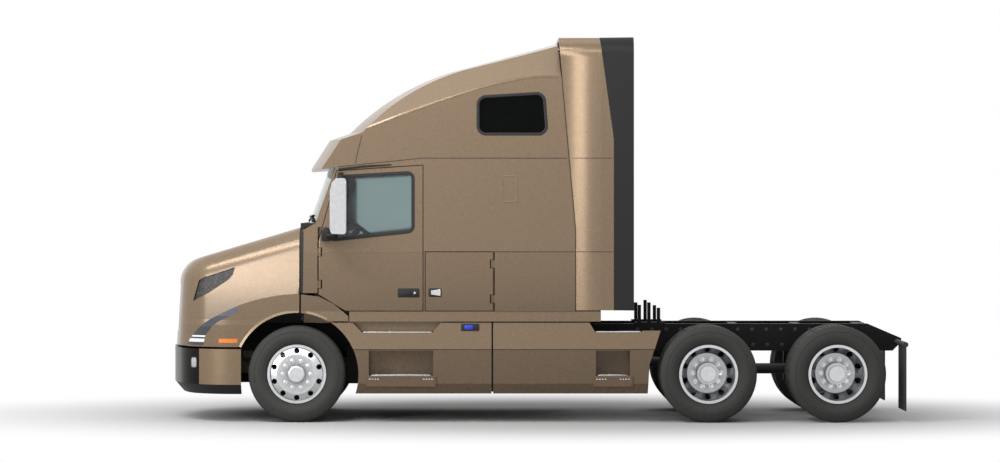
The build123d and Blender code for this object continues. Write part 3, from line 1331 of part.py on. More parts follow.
# Rear part of each steer fender, fixed to the cab, with its splash liner
FENDER_REAR_X = STEER_X - 529.0
FENDER_BOTTOM = 1037.0
with BuildPart() as fender_rears:
    with BuildSketch(side_plane(FENDER_W)):
        with BuildLine():
            Polyline(
                (COWL_X - 6, FENDER_BOTTOM - 200),
                (COWL_X - 6, BROW_REAR_Z - 6),
                (STEER_X - 229, BROW_REAR_Z - 28),
                (STEER_X - 379, 1215),
                (FENDER_REAR_X, 1090),
                (FENDER_REAR_X, FENDER_BOTTOM),
                (STEER_X - 300, FENDER_BOTTOM),
                (STEER_X - 300, FENDER_BOTTOM - 200),
                close=True,
            )
        make_face()
        with Locations((STEER_X, AXLE_Z)):
            Circle(ARCH_R, mode=Mode.SUBTRACT)
    extrude(amount=FENDER_W - FENDER_IN_Y)
    with BuildSketch(side_plane(FENDER_IN_Y)):
        with Locations((STEER_X, AXLE_Z)):
            Circle(LINER_R + LINER_T)
            Circle(LINER_R, mode=Mode.SUBTRACT)
        with Locations((COWL_X - 6 + 1000, AXLE_Z)):
            Rectangle(2000, 4000, mode=Mode.SUBTRACT)
        with Locations((STEER_X, FENDER_BOTTOM - 2000)):
            Rectangle(4000, 4000, mode=Mode.SUBTRACT)
    extrude(amount=FENDER_IN_Y - LINER_IN_Y)
    with BuildSketch(side_plane(SPLASH_OUT_Y)):
        with Locations((STEER_X, AXLE_Z)):
            Circle(LINER_R + LINER_T)
            Circle(LINER_R, mode=Mode.SUBTRACT)
        with Locations((STEER_X + 1000, AXLE_Z)):
            Rectangle(2000, 4000, mode=Mode.SUBTRACT)
        with Locations((STEER_X, FENDER_BOTTOM + 40 + 2000)):
            Rectangle(4000, 4000, mode=Mode.SUBTRACT)
        with Locations((STEER_X, SPLASH_LOW - 2000)):
            Rectangle(4000, 4000, mode=Mode.SUBTRACT)
    extrude(amount=SPLASH_OUT_Y - LINER_IN_Y)
    with BuildSketch(side_plane(LINER_IN_Y + LINER_T)):
        with Locations((STEER_X, AXLE_Z)):
            Circle(LINER_R + LINER_T)
        with Locations((COWL_X - 6 + 1000, AXLE_Z)):
            Rectangle(2000, 4000, mode=Mode.SUBTRACT)
        with Locations((STEER_X, LINER_WALL_LOW - 2000)):
            Rectangle(4000, 4000, mode=Mode.SUBTRACT)
    extrude(amount=LINER_T)
    with Locations((STEER_X - 170, LINER_IN_Y + 60, (TOE_Z + 1095) / 2)):
        Box(120, 120, TOE_Z - 1095)
    mirror(about=Plane.XZ)
save(fender_rears, "fender_rears")

# Side fairings with step notches, step wells and treads
FAIR_TOP = 1023.0
FAIR_CREASE = 745.0
FAIR_HEM = 400.0
FAIR_LOW = 297.0
FAIR_OUT = BODY_HALF_W + 5.0
FAIR_T = 30.0
FAIR_LEAN = 26.0
FAIR_SPLIT_X = STEER_X - 2010.0
FAIR_GAP = 16.0
FAIR_REAR_X = STEER_X - 3723.0
FAIR_FRONT_X = STEER_X - 300.0
STEP_BACK_Y = 930.0
BRACKET_T = 24.0
BRACKET_Z = 780.0


def fairing_strip(rear_x, front_x):
    """A length of the fairing's cross section."""
    with BuildPart() as strip:
        with BuildSketch(cross_plane(rear_x)):
            with BuildLine():
                Polyline(
                    (FAIR_OUT - FAIR_LEAN, FAIR_TOP),
                    (FAIR_OUT, FAIR_CREASE + 8),
                    (FAIR_OUT - 10, FAIR_CREASE),
                    (FAIR_OUT - 5, FAIR_HEM),
                    (FAIR_OUT - 45, FAIR_LOW),
                    (FAIR_OUT - 45 - FAIR_T, FAIR_LOW),
                    (FAIR_OUT - 5 - FAIR_T, FAIR_HEM),
                    (FAIR_OUT - 10 - FAIR_T, FAIR_CREASE),
                    (FAIR_OUT - FAIR_T, FAIR_CREASE + 8),
                    (FAIR_OUT - FAIR_LEAN - FAIR_T, FAIR_TOP),
                    close=True,
                )
            make_face()
        extrude(amount=front_x - rear_x)
    return strip.part


FRONT_NOTCH = (
    (STEER_X - 556, FAIR_TOP + 17),
    (STEER_X - 672, 920),
    (STEER_X - 1387, 920),
    (STEER_X - 1489, FAIR_TOP + 17),
)
REAR_OUTLINE = (
    (FAIR_SPLIT_X, FAIR_LOW - 10),
    (FAIR_SPLIT_X, FAIR_TOP + 10),
    (STEER_X - 2990, FAIR_TOP + 10),
    (STEER_X - 3055, 923),
    (STEER_X - 3524, 923),
    (STEER_X - 3541, 940),
    (STEER_X - 3723, 940),
    (STEER_X - 3608, 593),
    (STEER_X - 3592, FAIR_LOW - 10),
)
front_notch = side_prism(FRONT_NOTCH)
rear_outline = side_prism(REAR_OUTLINE)
front_strip = fairing_strip(FAIR_SPLIT_X + FAIR_GAP, FAIR_FRONT_X)
rear_strip = fairing_strip(FAIR_REAR_X, FAIR_SPLIT_X)
WELL_LOW = 480.0
WELL_HIGH = 738.0
TREAD_LOW = 368.0
FRONT_WELL = (STEER_X - 1397.0, STEER_X - 739.0)
REAR_WELL = (STEER_X - 3408.0, STEER_X - 3061.0)
with BuildPart() as fairings_front:
    add(front_strip)
    add(front_notch, mode=Mode.SUBTRACT)
    with BuildSketch(side_plane(2 * BODY_HALF_W)):
        with Locations((STEER_X, AXLE_Z)):
            Circle(ARCH_R + 6)
    extrude(amount=4 * BODY_HALF_W, mode=Mode.SUBTRACT)
    with Locations(((FRONT_WELL[0] + FRONT_WELL[1]) / 2, FAIR_OUT, (WELL_LOW + WELL_HIGH) / 2)):
        Box(FRONT_WELL[1] - FRONT_WELL[0], 200, WELL_HIGH - WELL_LOW, mode=Mode.SUBTRACT)
    well_mid = (FRONT_WELL[0] + FRONT_WELL[1]) / 2
    well_len = FRONT_WELL[1] - FRONT_WELL[0] + 60
    with Locations((well_mid, (STEP_BACK_Y + FAIR_OUT + 8) / 2, (TREAD_LOW + WELL_LOW) / 2)):
        Box(well_len, FAIR_OUT + 8 - STEP_BACK_Y, WELL_LOW - TREAD_LOW)
    with Locations((well_mid, STEP_BACK_Y + 10, (WELL_LOW + 905) / 2)):
        Box(well_len, 20, 905 - WELL_LOW)
    with Locations((well_mid, (STEP_BACK_Y + FAIR_OUT - 50) / 2, 910)):
        Box(well_len, FAIR_OUT - 50 - STEP_BACK_Y, 20)
    for x in (FRONT_WELL[0] - 30 + BRACKET_T / 2, FRONT_WELL[1] + 30 - BRACKET_T / 2):
        with Locations((x, (RAIL_OUT_Y + FAIR_OUT - 20) / 2, BRACKET_Z)):
            Box(BRACKET_T, FAIR_OUT - 20 - RAIL_OUT_Y, 80)
    mirror(about=Plane.XZ)
save(fairings_front, "fairings_front")

with BuildPart() as fairings_rear:
    add(rear_strip)
    add(rear_outline, mode=Mode.INTERSECT)
    with Locations(((REAR_WELL[0] + REAR_WELL[1]) / 2, FAIR_OUT, (WELL_LOW + WELL_HIGH) / 2)):
        Box(REAR_WELL[1] - REAR_WELL[0], 200, WELL_HIGH - WELL_LOW, mode=Mode.SUBTRACT)
    well_mid = (REAR_WELL[0] + REAR_WELL[1]) / 2
    well_len = REAR_WELL[1] - REAR_WELL[0] + 60
    with Locations((well_mid, (STEP_BACK_Y + FAIR_OUT + 8) / 2, (TREAD_LOW + WELL_LOW) / 2)):
        Box(well_len, FAIR_OUT + 8 - STEP_BACK_Y, WELL_LOW - TREAD_LOW)
    with Locations((well_mid, STEP_BACK_Y + 10, (WELL_LOW + 905) / 2)):
        Box(well_len, 20, 905 - WELL_LOW)
    with Locations((well_mid, (STEP_BACK_Y + FAIR_OUT - 50) / 2, 910)):
        Box(well_len, FAIR_OUT - 50 - STEP_BACK_Y, 20)
    for x in (REAR_WELL[0] - 30 + BRACKET_T / 2, REAR_WELL[1] + 30 - BRACKET_T / 2):
        with Locations((x, (RAIL_OUT_Y + FAIR_OUT - 20) / 2, BRACKET_Z)):
            Box(BRACKET_T, FAIR_OUT - 20 - RAIL_OUT_Y, 80)
    mirror(about=Plane.XZ)
save(fairings_rear, "fairings_rear")

# Fuel tanks slung on the rails behind the fairings
TANK_R = 285.0
TANK_Y = 800.0
TANK_Z = 690.0
TANK_REAR_X = REAR_WELL[1] + 80.0
TANK_FRONT_X = FRONT_WELL[0] - 80.0
with BuildPart() as fuel_tanks:
    with BuildSketch(cross_plane(TANK_REAR_X)):
        with Locations((TANK_Y, TANK_Z)):
            Circle(TANK_R)
    extrude(amount=TANK_FRONT_X - TANK_REAR_X)
    for x in (TANK_REAR_X + 250, TANK_FRONT_X - 250):
        with Locations((x, (RAIL_OUT_Y + TANK_Y - TANK_R + 40) / 2, RAIL_TOP - RAIL_DEPTH / 2)):
            Box(80, TANK_Y - TANK_R + 40 - RAIL_OUT_Y, RAIL_DEPTH - 40)
    mirror(about=Plane.XZ)
save(fuel_tanks, "fuel_tanks")

# Mud flaps on their hanger tubes
FLAP_X = TAIL_X + 48.0
FLAP_T = 12.0
FLAP_LOW = 118.0
HANGER_R = 26.0
HANGER_Z = RAIL_TOP - 185.0
FLAP_IN_Y = DRIVE_INNER_Y - 120.0
FLAP_OUT_Y = DRIVE_OUTER_Y + 125.0
with BuildPart() as mud_flaps:
    with BuildSketch(side_plane(FLAP_OUT_Y)):
        with Locations((FLAP_X, HANGER_Z)):
            Circle(HANGER_R)
    extrude(amount=FLAP_OUT_Y - RAIL_OUT_Y)
    with Locations((FLAP_X, (FLAP_IN_Y + FLAP_OUT_Y) / 2, (FLAP_LOW + HANGER_Z) / 2)):
        Box(FLAP_T, FLAP_OUT_Y - FLAP_IN_Y, HANGER_Z - FLAP_LOW)
    mirror(about=Plane.XZ)
save(mud_flaps, "mud_flaps")

# Tail lamps on the last crossmember
with BuildPart() as tail_lamps:
    with Locations((CROSS_XS[0] - CROSS_L / 2 - 20, 280, RAIL_TOP - 40)):
        Box(40, 220, 50)
    mirror(about=Plane.XZ)
save(tail_lamps, "tail_lamps")

# Deck brackets on the rails behind the cab
BRACKET_X = STEER_X - 3650.0
with BuildPart() as deck_brackets:
    with Locations((BRACKET_X, SPRING_Y, RAIL_TOP + 8)):
        Box(320, RAIL_FLANGE, 16)
    for x, height in ((BRACKET_X + 110, 180), (BRACKET_X + 10, 206), (BRACKET_X - 90, 150)):
        with Locations((x, RAIL_OUT_Y - 12, RAIL_TOP + 16 + height / 2)):
            Box(36, 24, height)
    mirror(about=Plane.XZ)
save(deck_brackets, "deck_brackets")

# Dashboard with the steering column and wheel
DASH_HALF_W = SIDE_IN_Y - 30.0
WHEEL_X = STEER_X - 620.0
WHEEL_Y = 550.0
WHEEL_Z = 1990.0
WHEEL_R = 225.0
with BuildPart() as dashboard:
    with BuildSketch(side_plane(DASH_HALF_W)):
        with BuildLine():
            Polyline(
                (FIREWALL_X, 1480),
                (FIREWALL_X, 1985),
                (FIREWALL_X - 240, 1985),
                (FIREWALL_X - 420, 1900),
                (FIREWALL_X - 420, 1600),
                close=True,
            )
        make_face()
    extrude(amount=2 * DASH_HALF_W)
    with BuildSketch(Plane(origin=(WHEEL_X, WHEEL_Y, WHEEL_Z), z_dir=(0.6, 0, -0.8))):
        Circle(30)
    extrude(amount=300)
    with Locations(Plane(origin=(WHEEL_X, WHEEL_Y, WHEEL_Z), x_dir=(0, 1, 0), z_dir=(0.6, 0, -0.8))):
        Torus(WHEEL_R, 16)
        Box(2 * WHEEL_R, 30, 16)
save(dashboard, "dashboard")

# Seats
SEAT_Y = 560.0
SEAT_W = 480.0
with BuildPart() as seats:
    with BuildSketch(side_plane(SEAT_Y + SEAT_W / 2)):
        with BuildLine():
            Polyline(
                (STEER_X - 1320, CAB_BOTTOM),
                (STEER_X - 920, CAB_BOTTOM),
                (STEER_X - 920, 1480),
                (STEER_X - 790, 1500),
                (STEER_X - 790, 1600),
                (STEER_X - 1270, 1620),
                (STEER_X - 1390, 2350),
                (STEER_X - 1510, 2350),
                (STEER_X - 1410, 1560),
                (STEER_X - 1320, 1480),
                close=True,
            )
        make_face()
    extrude(amount=SEAT_W)
    mirror(about=Plane.XZ)
save(seats, "seats")

# Bunk across the back of the sleeper
BUNK_L = 800.0
BUNK_TOP = 1750.0
with BuildPart() as bunk:
    with Locations((CAB_BACK_X + WALL + BUNK_L / 2, 0, (CAB_BOTTOM + BUNK_TOP) / 2)):
        Box(BUNK_L, 2 * (SIDE_IN_Y - 20), BUNK_TOP - CAB_BOTTOM)
save(bunk, "bunk")
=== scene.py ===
"""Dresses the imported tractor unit: paint, rubber, glass, lamps and trim, in a plain studio."""
import json
from math import cos, pi, radians, sin, tan

import bpy
from mathutils import Matrix, Vector


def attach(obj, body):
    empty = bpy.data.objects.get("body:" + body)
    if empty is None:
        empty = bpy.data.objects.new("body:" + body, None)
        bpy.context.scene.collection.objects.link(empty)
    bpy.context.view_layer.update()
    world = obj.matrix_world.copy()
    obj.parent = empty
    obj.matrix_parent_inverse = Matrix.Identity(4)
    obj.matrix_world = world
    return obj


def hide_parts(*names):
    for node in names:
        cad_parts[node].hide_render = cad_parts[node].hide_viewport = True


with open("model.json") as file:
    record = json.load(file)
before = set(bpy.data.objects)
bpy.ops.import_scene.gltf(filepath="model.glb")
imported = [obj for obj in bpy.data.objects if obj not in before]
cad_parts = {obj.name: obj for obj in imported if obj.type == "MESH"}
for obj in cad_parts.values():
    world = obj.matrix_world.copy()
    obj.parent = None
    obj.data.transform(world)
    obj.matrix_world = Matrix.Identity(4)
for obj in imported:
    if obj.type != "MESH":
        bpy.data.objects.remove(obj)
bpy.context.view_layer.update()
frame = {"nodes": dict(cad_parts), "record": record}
nodes = frame["nodes"]
bpy.ops.object.select_all(action="DESELECT")

# Places and sizes of the frame, in metres
STEER_X = 2.46875
DRIVE_XS = {"front": -1.74475, "rear": -3.06575}
AXLE_Z = 0.495
STEER_TYRE_Y = 1.025
DRIVE_TYRE_YS = (1.078, 0.741)
STEER_FACE_Y = 1.157
DRIVE_FACE_Y = 0.9235
BODY_Y = 1.2
RAIL_Y = 0.43
# Behind this line the extenders flare outward by this slope
EXTENDER_BEND_X = -0.643
EXTENDER_FLARE = 0.2607
# Two seams run level round the sleeper and on over the extenders
ROOF_SEAM_Z = 2.705
SIDE_SEAM_Z = 1.748
# Trim on the body's sides starts a little inside their outer face, so that no gap shows behind it
TRIM_Y = 1.199
# Seals lie behind the gaps of doors and hatches
SEAL_Y = 1.108

SIDES = ("left", "right")
MIRROR_Y = Matrix.Diagonal((1, -1, 1, 1))
# Edges are shaded smooth below this angle
SMOOTH_BELOW = radians(35)
# A face looks a given way when its normal has at least this share along it
FACING = 0.9


def linear(hex_colour):
    """An sRGB hex colour as linear RGBA."""
    channels = [int(hex_colour[i:i + 2], 16) / 255 for i in (1, 3, 5)]
    return tuple(c / 12.92 if c <= 0.04045 else ((c + 0.055) / 1.055) ** 2.4 for c in channels) + (1.0,)


def add_node(tree, kind, inputs, **settings):
    """Adds a shader node, sets its settings, and fills or links its inputs."""
    made = tree.nodes.new(kind)
    for key, value in settings.items():
        setattr(made, key, value)
    for key, value in inputs.items():
        if isinstance(value, bpy.types.NodeSocket):
            tree.links.new(value, made.inputs[key])
        else:
            made.inputs[key].default_value = value
    return made


def new_material(name, **values):
    """A material with constant shader values; returns it with its tree, shader and object coordinates."""
    material = bpy.data.materials.new(name)
    material.use_nodes = True
    tree = material.node_tree
    shader = tree.nodes["Principled BSDF"]
    for key, value in values.items():
        shader.inputs[key.replace("_", " ").title().replace("Ior", "IOR")].default_value = value
    place = add_node(tree, "ShaderNodeTexCoord", {}).outputs["Object"]
    return material, tree, shader, place


def speckle(name, dark, light, grain_mm, bump_mm, rough, **values):
    """A material whose colour drifts between two tones on a grain, which also sets gloss and bump."""
    material, tree, shader, place = new_material(name, **values)
    grain = add_node(tree, "ShaderNodeTexNoise", {"Vector": place, "Scale": 1000 / grain_mm, "Detail": 4.0})
    tone = add_node(tree, "ShaderNodeValToRGB", {"Fac": grain.outputs["Fac"]})
    tone.color_ramp.elements[0].position = 0.3
    tone.color_ramp.elements[1].position = 0.7
    tone.color_ramp.elements[0].color = linear(dark)
    tone.color_ramp.elements[1].color = linear(light)
    tree.links.new(tone.outputs["Color"], shader.inputs["Base Color"])
    gloss = add_node(tree, "ShaderNodeMapRange", {
        "Value": grain.outputs["Fac"], "To Min": rough - 0.06, "To Max": rough + 0.06})
    tree.links.new(gloss.outputs["Result"], shader.inputs["Roughness"])
    relief = add_node(tree, "ShaderNodeBump", {
        "Height": grain.outputs["Fac"], "Strength": 0.4, "Distance": bump_mm / 1000})
    tree.links.new(relief.outputs["Normal"], shader.inputs["Normal"])
    return material


# Mica flakes are far finer than this: they are drawn coarse enough to show in the render
FLAKE_MM = 14.0
# The spray's gloss drifts over about a hand's breadth
RIPPLE_MM = 60.0


def body_paint(name, bows):
    """Sprayed metallic paint on panels that bow a little.

    Each bow is an axis, where it starts and ends, the slope it starts with, and how the slope grows along it.
    """
    material, tree, shader, place = new_material(
        name, metallic=0.4, coat_weight=0.35, coat_roughness=0.16, specular_ior_level=0.05)
    flakes = add_node(tree, "ShaderNodeTexVoronoi", {"Vector": place, "Scale": 1000 / FLAKE_MM})
    tone = add_node(tree, "ShaderNodeMix", {
        "Factor": flakes.outputs["Distance"], 6: linear("#776552"), 7: linear("#85725D")}, data_type="RGBA")
    tree.links.new(tone.outputs[2], shader.inputs["Base Color"])
    ripple = add_node(tree, "ShaderNodeTexNoise", {"Vector": place, "Scale": 1000 / RIPPLE_MM, "Detail": 2.0})
    gloss = add_node(tree, "ShaderNodeMapRange", {
        "Value": ripple.outputs["Fac"], "To Min": 0.25, "To Max": 0.31})
    tree.links.new(gloss.outputs["Result"], shader.inputs["Roughness"])
    axes = add_node(tree, "ShaderNodeSeparateXYZ", {"Vector": place})
    swell = 0.0
    for axis, start, end, lean, curl in bows:
        run = add_node(tree, "ShaderNodeMapRange", {
            "Value": axes.outputs[axis], "From Min": start, "From Max": end,
            "To Min": 0.0, "To Max": end - start})
        bend = add_node(tree, "ShaderNodeMath", {
            0: run.outputs["Result"], 1: curl, 2: lean}, operation="MULTIPLY_ADD")
        rise = add_node(tree, "ShaderNodeMath", {
            0: run.outputs["Result"], 1: bend.outputs[0], 2: swell}, operation="MULTIPLY_ADD")
        swell = rise.outputs[0]
    relief = add_node(tree, "ShaderNodeBump", {"Height": swell, "Strength": 1.0, "Distance": 1.0})
    tree.links.new(relief.outputs["Normal"], shader.inputs["Normal"])
    return material


# Sprayed metallic paint: mica flakes under clear coat, bright where a panel turns to the light.
# The lower doors and fairings tuck under, and the sides lean in a little toward the roof.
paint = body_paint("metallic_paint", (
    ("Z", 0.30, 0.745, 0.3, 0.0), ("Z", 1.14, 1.745, 0.3, -0.2), ("Z", 1.75, 3.9, -0.03, 0.005)))
# The same paint on the flat back wall, in one even tone
flat_paint = body_paint("metallic_paint_on_back_wall", ())
# The same paint on the hood: its sides roll over, so they brighten toward the top
hood_paint = body_paint("metallic_paint_on_hood", (
    ("Z", 0.55, 1.0, 0.16, 0.0), ("Z", 1.05, 2.0, 0.11, -0.15)))

# The same paint on the extenders: they bow from front to back, so a bright band stands near their seam.
# The bow ends below the flat top.
BOW_FADES_Z = 3.74
BOW_GONE_Z = 3.88
extender_paint = body_paint("metallic_paint_on_extender", (
    ("X", -1.0, EXTENDER_BEND_X, 0.26, 0.0), ("X", EXTENDER_BEND_X, -0.2, -0.12, -0.75)))
tree = extender_paint.node_tree
top = add_node(tree, "ShaderNodeMapRange", {
    "Value": tree.nodes["Separate XYZ"].outputs["Z"], "From Min": BOW_FADES_Z, "From Max": BOW_GONE_Z})
unbent = add_node(tree, "ShaderNodeNewGeometry", {}).outputs["Normal"]
upright = add_node(tree, "ShaderNodeMix", {
    "Factor": top.outputs["Result"], 4: tree.nodes["Bump"].outputs["Normal"], 5: unbent}, data_type="VECTOR")
tree.links.new(upright.outputs[1], tree.nodes["Principled BSDF"].inputs["Normal"])

# The same paint on the bumper, turned near black on its nose ahead of an upright line: a painted dark
# reflection where the nose turns forward
DARK_REFLECTION_FROM_X = 3.475
bumper_paint = body_paint("metallic_paint_on_bumper", ())
tree = bumper_paint.node_tree
shader = tree.nodes["Principled BSDF"]
shader.inputs["Coat Weight"].default_value = 0.05
painted = shader.inputs["Base Color"].links[0].from_socket
# Ahead of the line the base colour is near black, a painted reflection of a dark surround
ahead = add_node(tree, "ShaderNodeMath", {
    0: tree.nodes["Separate XYZ"].outputs["X"], 1: DARK_REFLECTION_FROM_X}, operation="GREATER_THAN")
painted_dark_reflection = add_node(tree, "ShaderNodeMix", {
    "Factor": ahead.outputs[0], 6: painted, 7: linear("#1A1816")}, data_type="RGBA")
tree.links.new(painted_dark_reflection.outputs[2], shader.inputs["Base Color"])

# The grain of plastics, cloth and brushed metal is too fine for the render, so it is drawn coarser here.

# Pebbled plastic: dull black with a soft, broken sheen
black_plastic = speckle("moulded_black_plastic", "#121212", "#1C1C1C", 4.0, 0.15, 0.55,
                        specular_ior_level=0.3)
# Satin panel: an even charcoal that stays dark against the white
dark_panel = speckle("satin_black_panel", "#141414", "#1B1B1B", 9.0, 0.05, 0.55, specular_ior_level=0.2)
# Dipped enamel: near black, with slow drifts of gloss along the rails
frame_enamel = speckle("black_chassis_enamel", "#0B0B0B", "#131313", 30.0, 0.08, 0.5, specular_ior_level=0.14)
# Tyre rubber: matt charcoal, a little dusty in patches
tyre_rubber = speckle("tyre_rubber", "#272726", "#343432", 18.0, 0.3, 0.78)
# Sheet rubber: flat dark grey with faint rolling marks
flap_rubber = speckle("sheet_rubber", "#232323", "#2E2E2D", 12.0, 0.2, 0.8)
# Cast iron under paint: a rough sand-cast skin
axle_iron = speckle("painted_cast_iron", "#1C1C1C", "#2B2A29", 14.0, 0.8, 0.6)
# Engine enamel: cool mid grey over castings
engine_paint = speckle("engine_enamel", "#3C4043", "#4A4E50", 20.0, 0.4, 0.5)
# Cabin plastic: warm dark grain that doesn't glare behind the glass
cabin_plastic = speckle("grained_cabin_plastic", "#2E2C2A", "#3A3835", 3.0, 0.3, 0.65)
# Seat cloth: blue-grey weave, quite matt
seat_cloth = speckle("woven_seat_cloth", "#26272B", "#34363B", 5.0, 0.6, 0.9)
# Brushed aluminium: pale metal with a spread-out gleam
tank_metal = speckle("brushed_aluminium", "#A9AAAC", "#C2C3C5", 8.0, 0.05, 0.3, metallic=1.0)
# Chrome: a clean mirror
chrome = speckle("chrome_plate", "#D0D1D4", "#DADBDD", 40.0, 0.01, 0.09, metallic=1.0)
# Moulded plastic in the usual blue of the fluid's cap
blue_cap = speckle("blue_moulded_plastic", "#1B35B8", "#2442CC", 6.0, 0.2, 0.4)
# Seal rubber: the darkest line between two panels
gap_rubber = speckle("seal_rubber", "#0E0E0E", "#171717", 6.0, 0.1, 0.7)
# Door and windscreen glass: clear with a blue-green tint
window_glass = speckle("tinted_float_glass", "#AFBDBD", "#B3C0C0", 300.0, 0.0, 0.07,
                       transmission_weight=1.0, ior=1.45)
# Privacy glass: black, with hardly any mirror
privacy_glass = speckle("dark_privacy_glass", "#030404", "#060707", 200.0, 0.0, 0.06, specular_ior_level=0.06)
# Fluted clear lens over a bright bowl: broken silver
fog_glass = speckle("fluted_clear_lens", "#8E9094", "#B4B6B9", 7.0, 0.6, 0.15, coat_weight=1.0)
# Acrylic lamp covers: full colour with a thin gloss
amber_lens = speckle("amber_acrylic", "#D06A08", "#E8841C", 8.0, 0.1, 0.2, coat_weight=0.3)
red_lens = speckle("red_acrylic", "#8A0D0B", "#A41410", 8.0, 0.1, 0.2, coat_weight=0.3)

# Forged wheels, polished bright, with painted shade darkening their corners and crevices
wheel_metal = speckle("polished_forged_aluminium", "#C6C7C9", "#D4D5D6", 25.0, 0.02, 0.3, metallic=1.0)
tree = wheel_metal.node_tree
shader = tree.nodes["Principled BSDF"]
clean = shader.inputs["Base Color"].links[0].from_socket
# Ambient occlusion darkens the colour where parts close in: painted shade
corners = add_node(tree, "ShaderNodeAmbientOcclusion", {"Distance": 0.12}, samples=8)
shade_in_corners = add_node(tree, "ShaderNodeMix", {
    "Factor": corners.outputs["AO"], 6: linear("#2E2F31"), 7: clean}, data_type="RGBA")
tree.links.new(shade_in_corners.outputs[2], shader.inputs["Base Color"])

# Moulded clear lens over a dark lamp bowl: two white light bars low down, a grey reflector above
lamp_lens, tree, shader, place = new_material(
    "clear_polycarbonate", roughness=0.12, coat_weight=0.5, coat_roughness=0.04)
height = add_node(tree, "ShaderNodeSeparateXYZ", {"Vector": place}).outputs["Z"]
rise = add_node(tree, "ShaderNodeMapRange", {"Value": height, "From Min": 0.78, "From Max": 1.18})
bands = add_node(tree, "ShaderNodeValToRGB", {"Fac": rise.outputs["Result"]})
bands.color_ramp.interpolation = "CONSTANT"
bands.color_ramp.elements[0].color = linear("#24262A")
bands.color_ramp.elements[1].position = 0.78
bands.color_ramp.elements[1].color = linear("#565A62")
LAMP_BANDS = ((0.10, "#E4E5E7"), (0.185, "#24262A"), (0.23, "#E4E5E7"), (0.2725, "#2A2C31"), (0.5, "#3C4047"))
for spot, tone in LAMP_BANDS:
    stop = bands.color_ramp.elements.new(spot)
    stop.color = linear(tone)
tree.links.new(bands.outputs["Color"], shader.inputs["Base Color"])

# Pressed black mesh: raised webs round small open cells, drawn coarse enough to show; the cells are painted
# shade, near black like the space behind them
vent_mesh, tree, shader, place = new_material("pressed_black_mesh", roughness=0.5)
MESH_CELL_MM = 26.0
cells = add_node(tree, "ShaderNodeTexVoronoi", {
    "Vector": place, "Scale": 1000 / MESH_CELL_MM}, feature="DISTANCE_TO_EDGE")
webs_and_cell_shade = add_node(tree, "ShaderNodeValToRGB", {"Fac": cells.outputs["Distance"]})
webs_and_cell_shade.color_ramp.elements[0].position = 0.08
webs_and_cell_shade.color_ramp.elements[1].position = 0.14
webs_and_cell_shade.color_ramp.elements[0].color = linear("#3E3C39")
# Cell colour: painted shade for the open holes
webs_and_cell_shade.color_ramp.elements[1].color = linear("#0A0A0A")
tree.links.new(webs_and_cell_shade.outputs["Color"], shader.inputs["Base Color"])

# The finish of each slot in the record, and of single nodes that differ from their slot
FINISHES = {
    "paint": paint,
    "black_plastic": black_plastic,
    "frame_black": frame_enamel,
    "polished_aluminium": wheel_metal,
    "tyre_rubber": tyre_rubber,
    "glass": window_glass,
    "lamp_lens": lamp_lens,
    "amber_lens": amber_lens,
    "red_lens": red_lens,
    "cast_iron": axle_iron,
    "engine_grey": engine_paint,
    "tank_aluminium": tank_metal,
    "mirror_chrome": chrome,
    "flap_rubber": flap_rubber,
    "cabin_plastic": cabin_plastic,
    "seat_fabric": seat_cloth,
}
NODE_FINISHES = {
    "extender_edges": dark_panel,
    "sleeper_windows": privacy_glass,
    "side_extenders": extender_paint,
    "hood_vents": vent_mesh,
    "hood": hood_paint,
    "cab_back": flat_paint,
    "bumper": bumper_paint,
}
for part in frame["record"]["subparts"]:
    node = nodes[part["node"]]
    node.data.materials.clear()
    node.data.materials.append(NODE_FINISHES.get(part["node"], FINISHES[part["material_slot"]]))


def finish_piece(piece, name, material, body):
    """Names a piece, gives it its finish and hangs it on its body."""
    piece.name = name
    piece.data.name = name
    piece.data.materials.clear()
    piece.data.materials.append(material)
    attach(piece, body)
    return piece


def copy_piece(piece, matrix):
    """A copy of a piece with its own mesh, its place turned by the matrix."""
    twin = piece.copy()
    twin.data = piece.data.copy()
    twin.data.transform(matrix)
    if matrix.determinant() < 0:
        twin.data.flip_normals()
    bpy.context.collection.objects.link(twin)
    return twin


def pair(piece, name, material, body):
    """Finishes a left piece and its twin on the right; {} in the body's name stands for the side."""
    twin = copy_piece(piece, MIRROR_Y)
    finish_piece(piece, f"{name}_left", material, body.format("left"))
    finish_piece(twin, f"{name}_right", material, body.format("right"))
    return piece, twin


def work_on(piece):
    """Makes a piece the only selected and the active one."""
    bpy.ops.object.select_all(action="DESELECT")
    piece.select_set(True)
    bpy.context.view_layer.objects.active = piece


def joined(pieces):
    """Several pieces as one."""
    work_on(pieces[0])
    for piece in pieces[1:]:
        piece.select_set(True)
    if len(pieces) > 1:
        bpy.ops.object.join()
    return pieces[0]


def pick_faces(piece, test):
    """Opens a piece in edit mode with only the faces selected that pass the test."""
    work_on(piece)
    bpy.ops.object.mode_set(mode="EDIT")
    bpy.ops.mesh.select_mode(type="FACE")
    bpy.ops.mesh.select_all(action="DESELECT")
    bpy.ops.object.mode_set(mode="OBJECT")
    for face in piece.data.polygons:
        face.select = bool(test(face))
    bpy.ops.object.mode_set(mode="EDIT")


def point_ring(points):
    """A closed ring of edges through points, left open in edit mode with all of it selected."""
    bpy.ops.object.select_all(action="DESELECT")
    bpy.ops.mesh.primitive_circle_add(vertices=len(points), radius=1.0)
    piece = bpy.context.object
    for vertex, spot in zip(piece.data.vertices, points):
        vertex.co = spot
    bpy.ops.object.mode_set(mode="EDIT")
    bpy.ops.mesh.select_all(action="SELECT")
    return piece


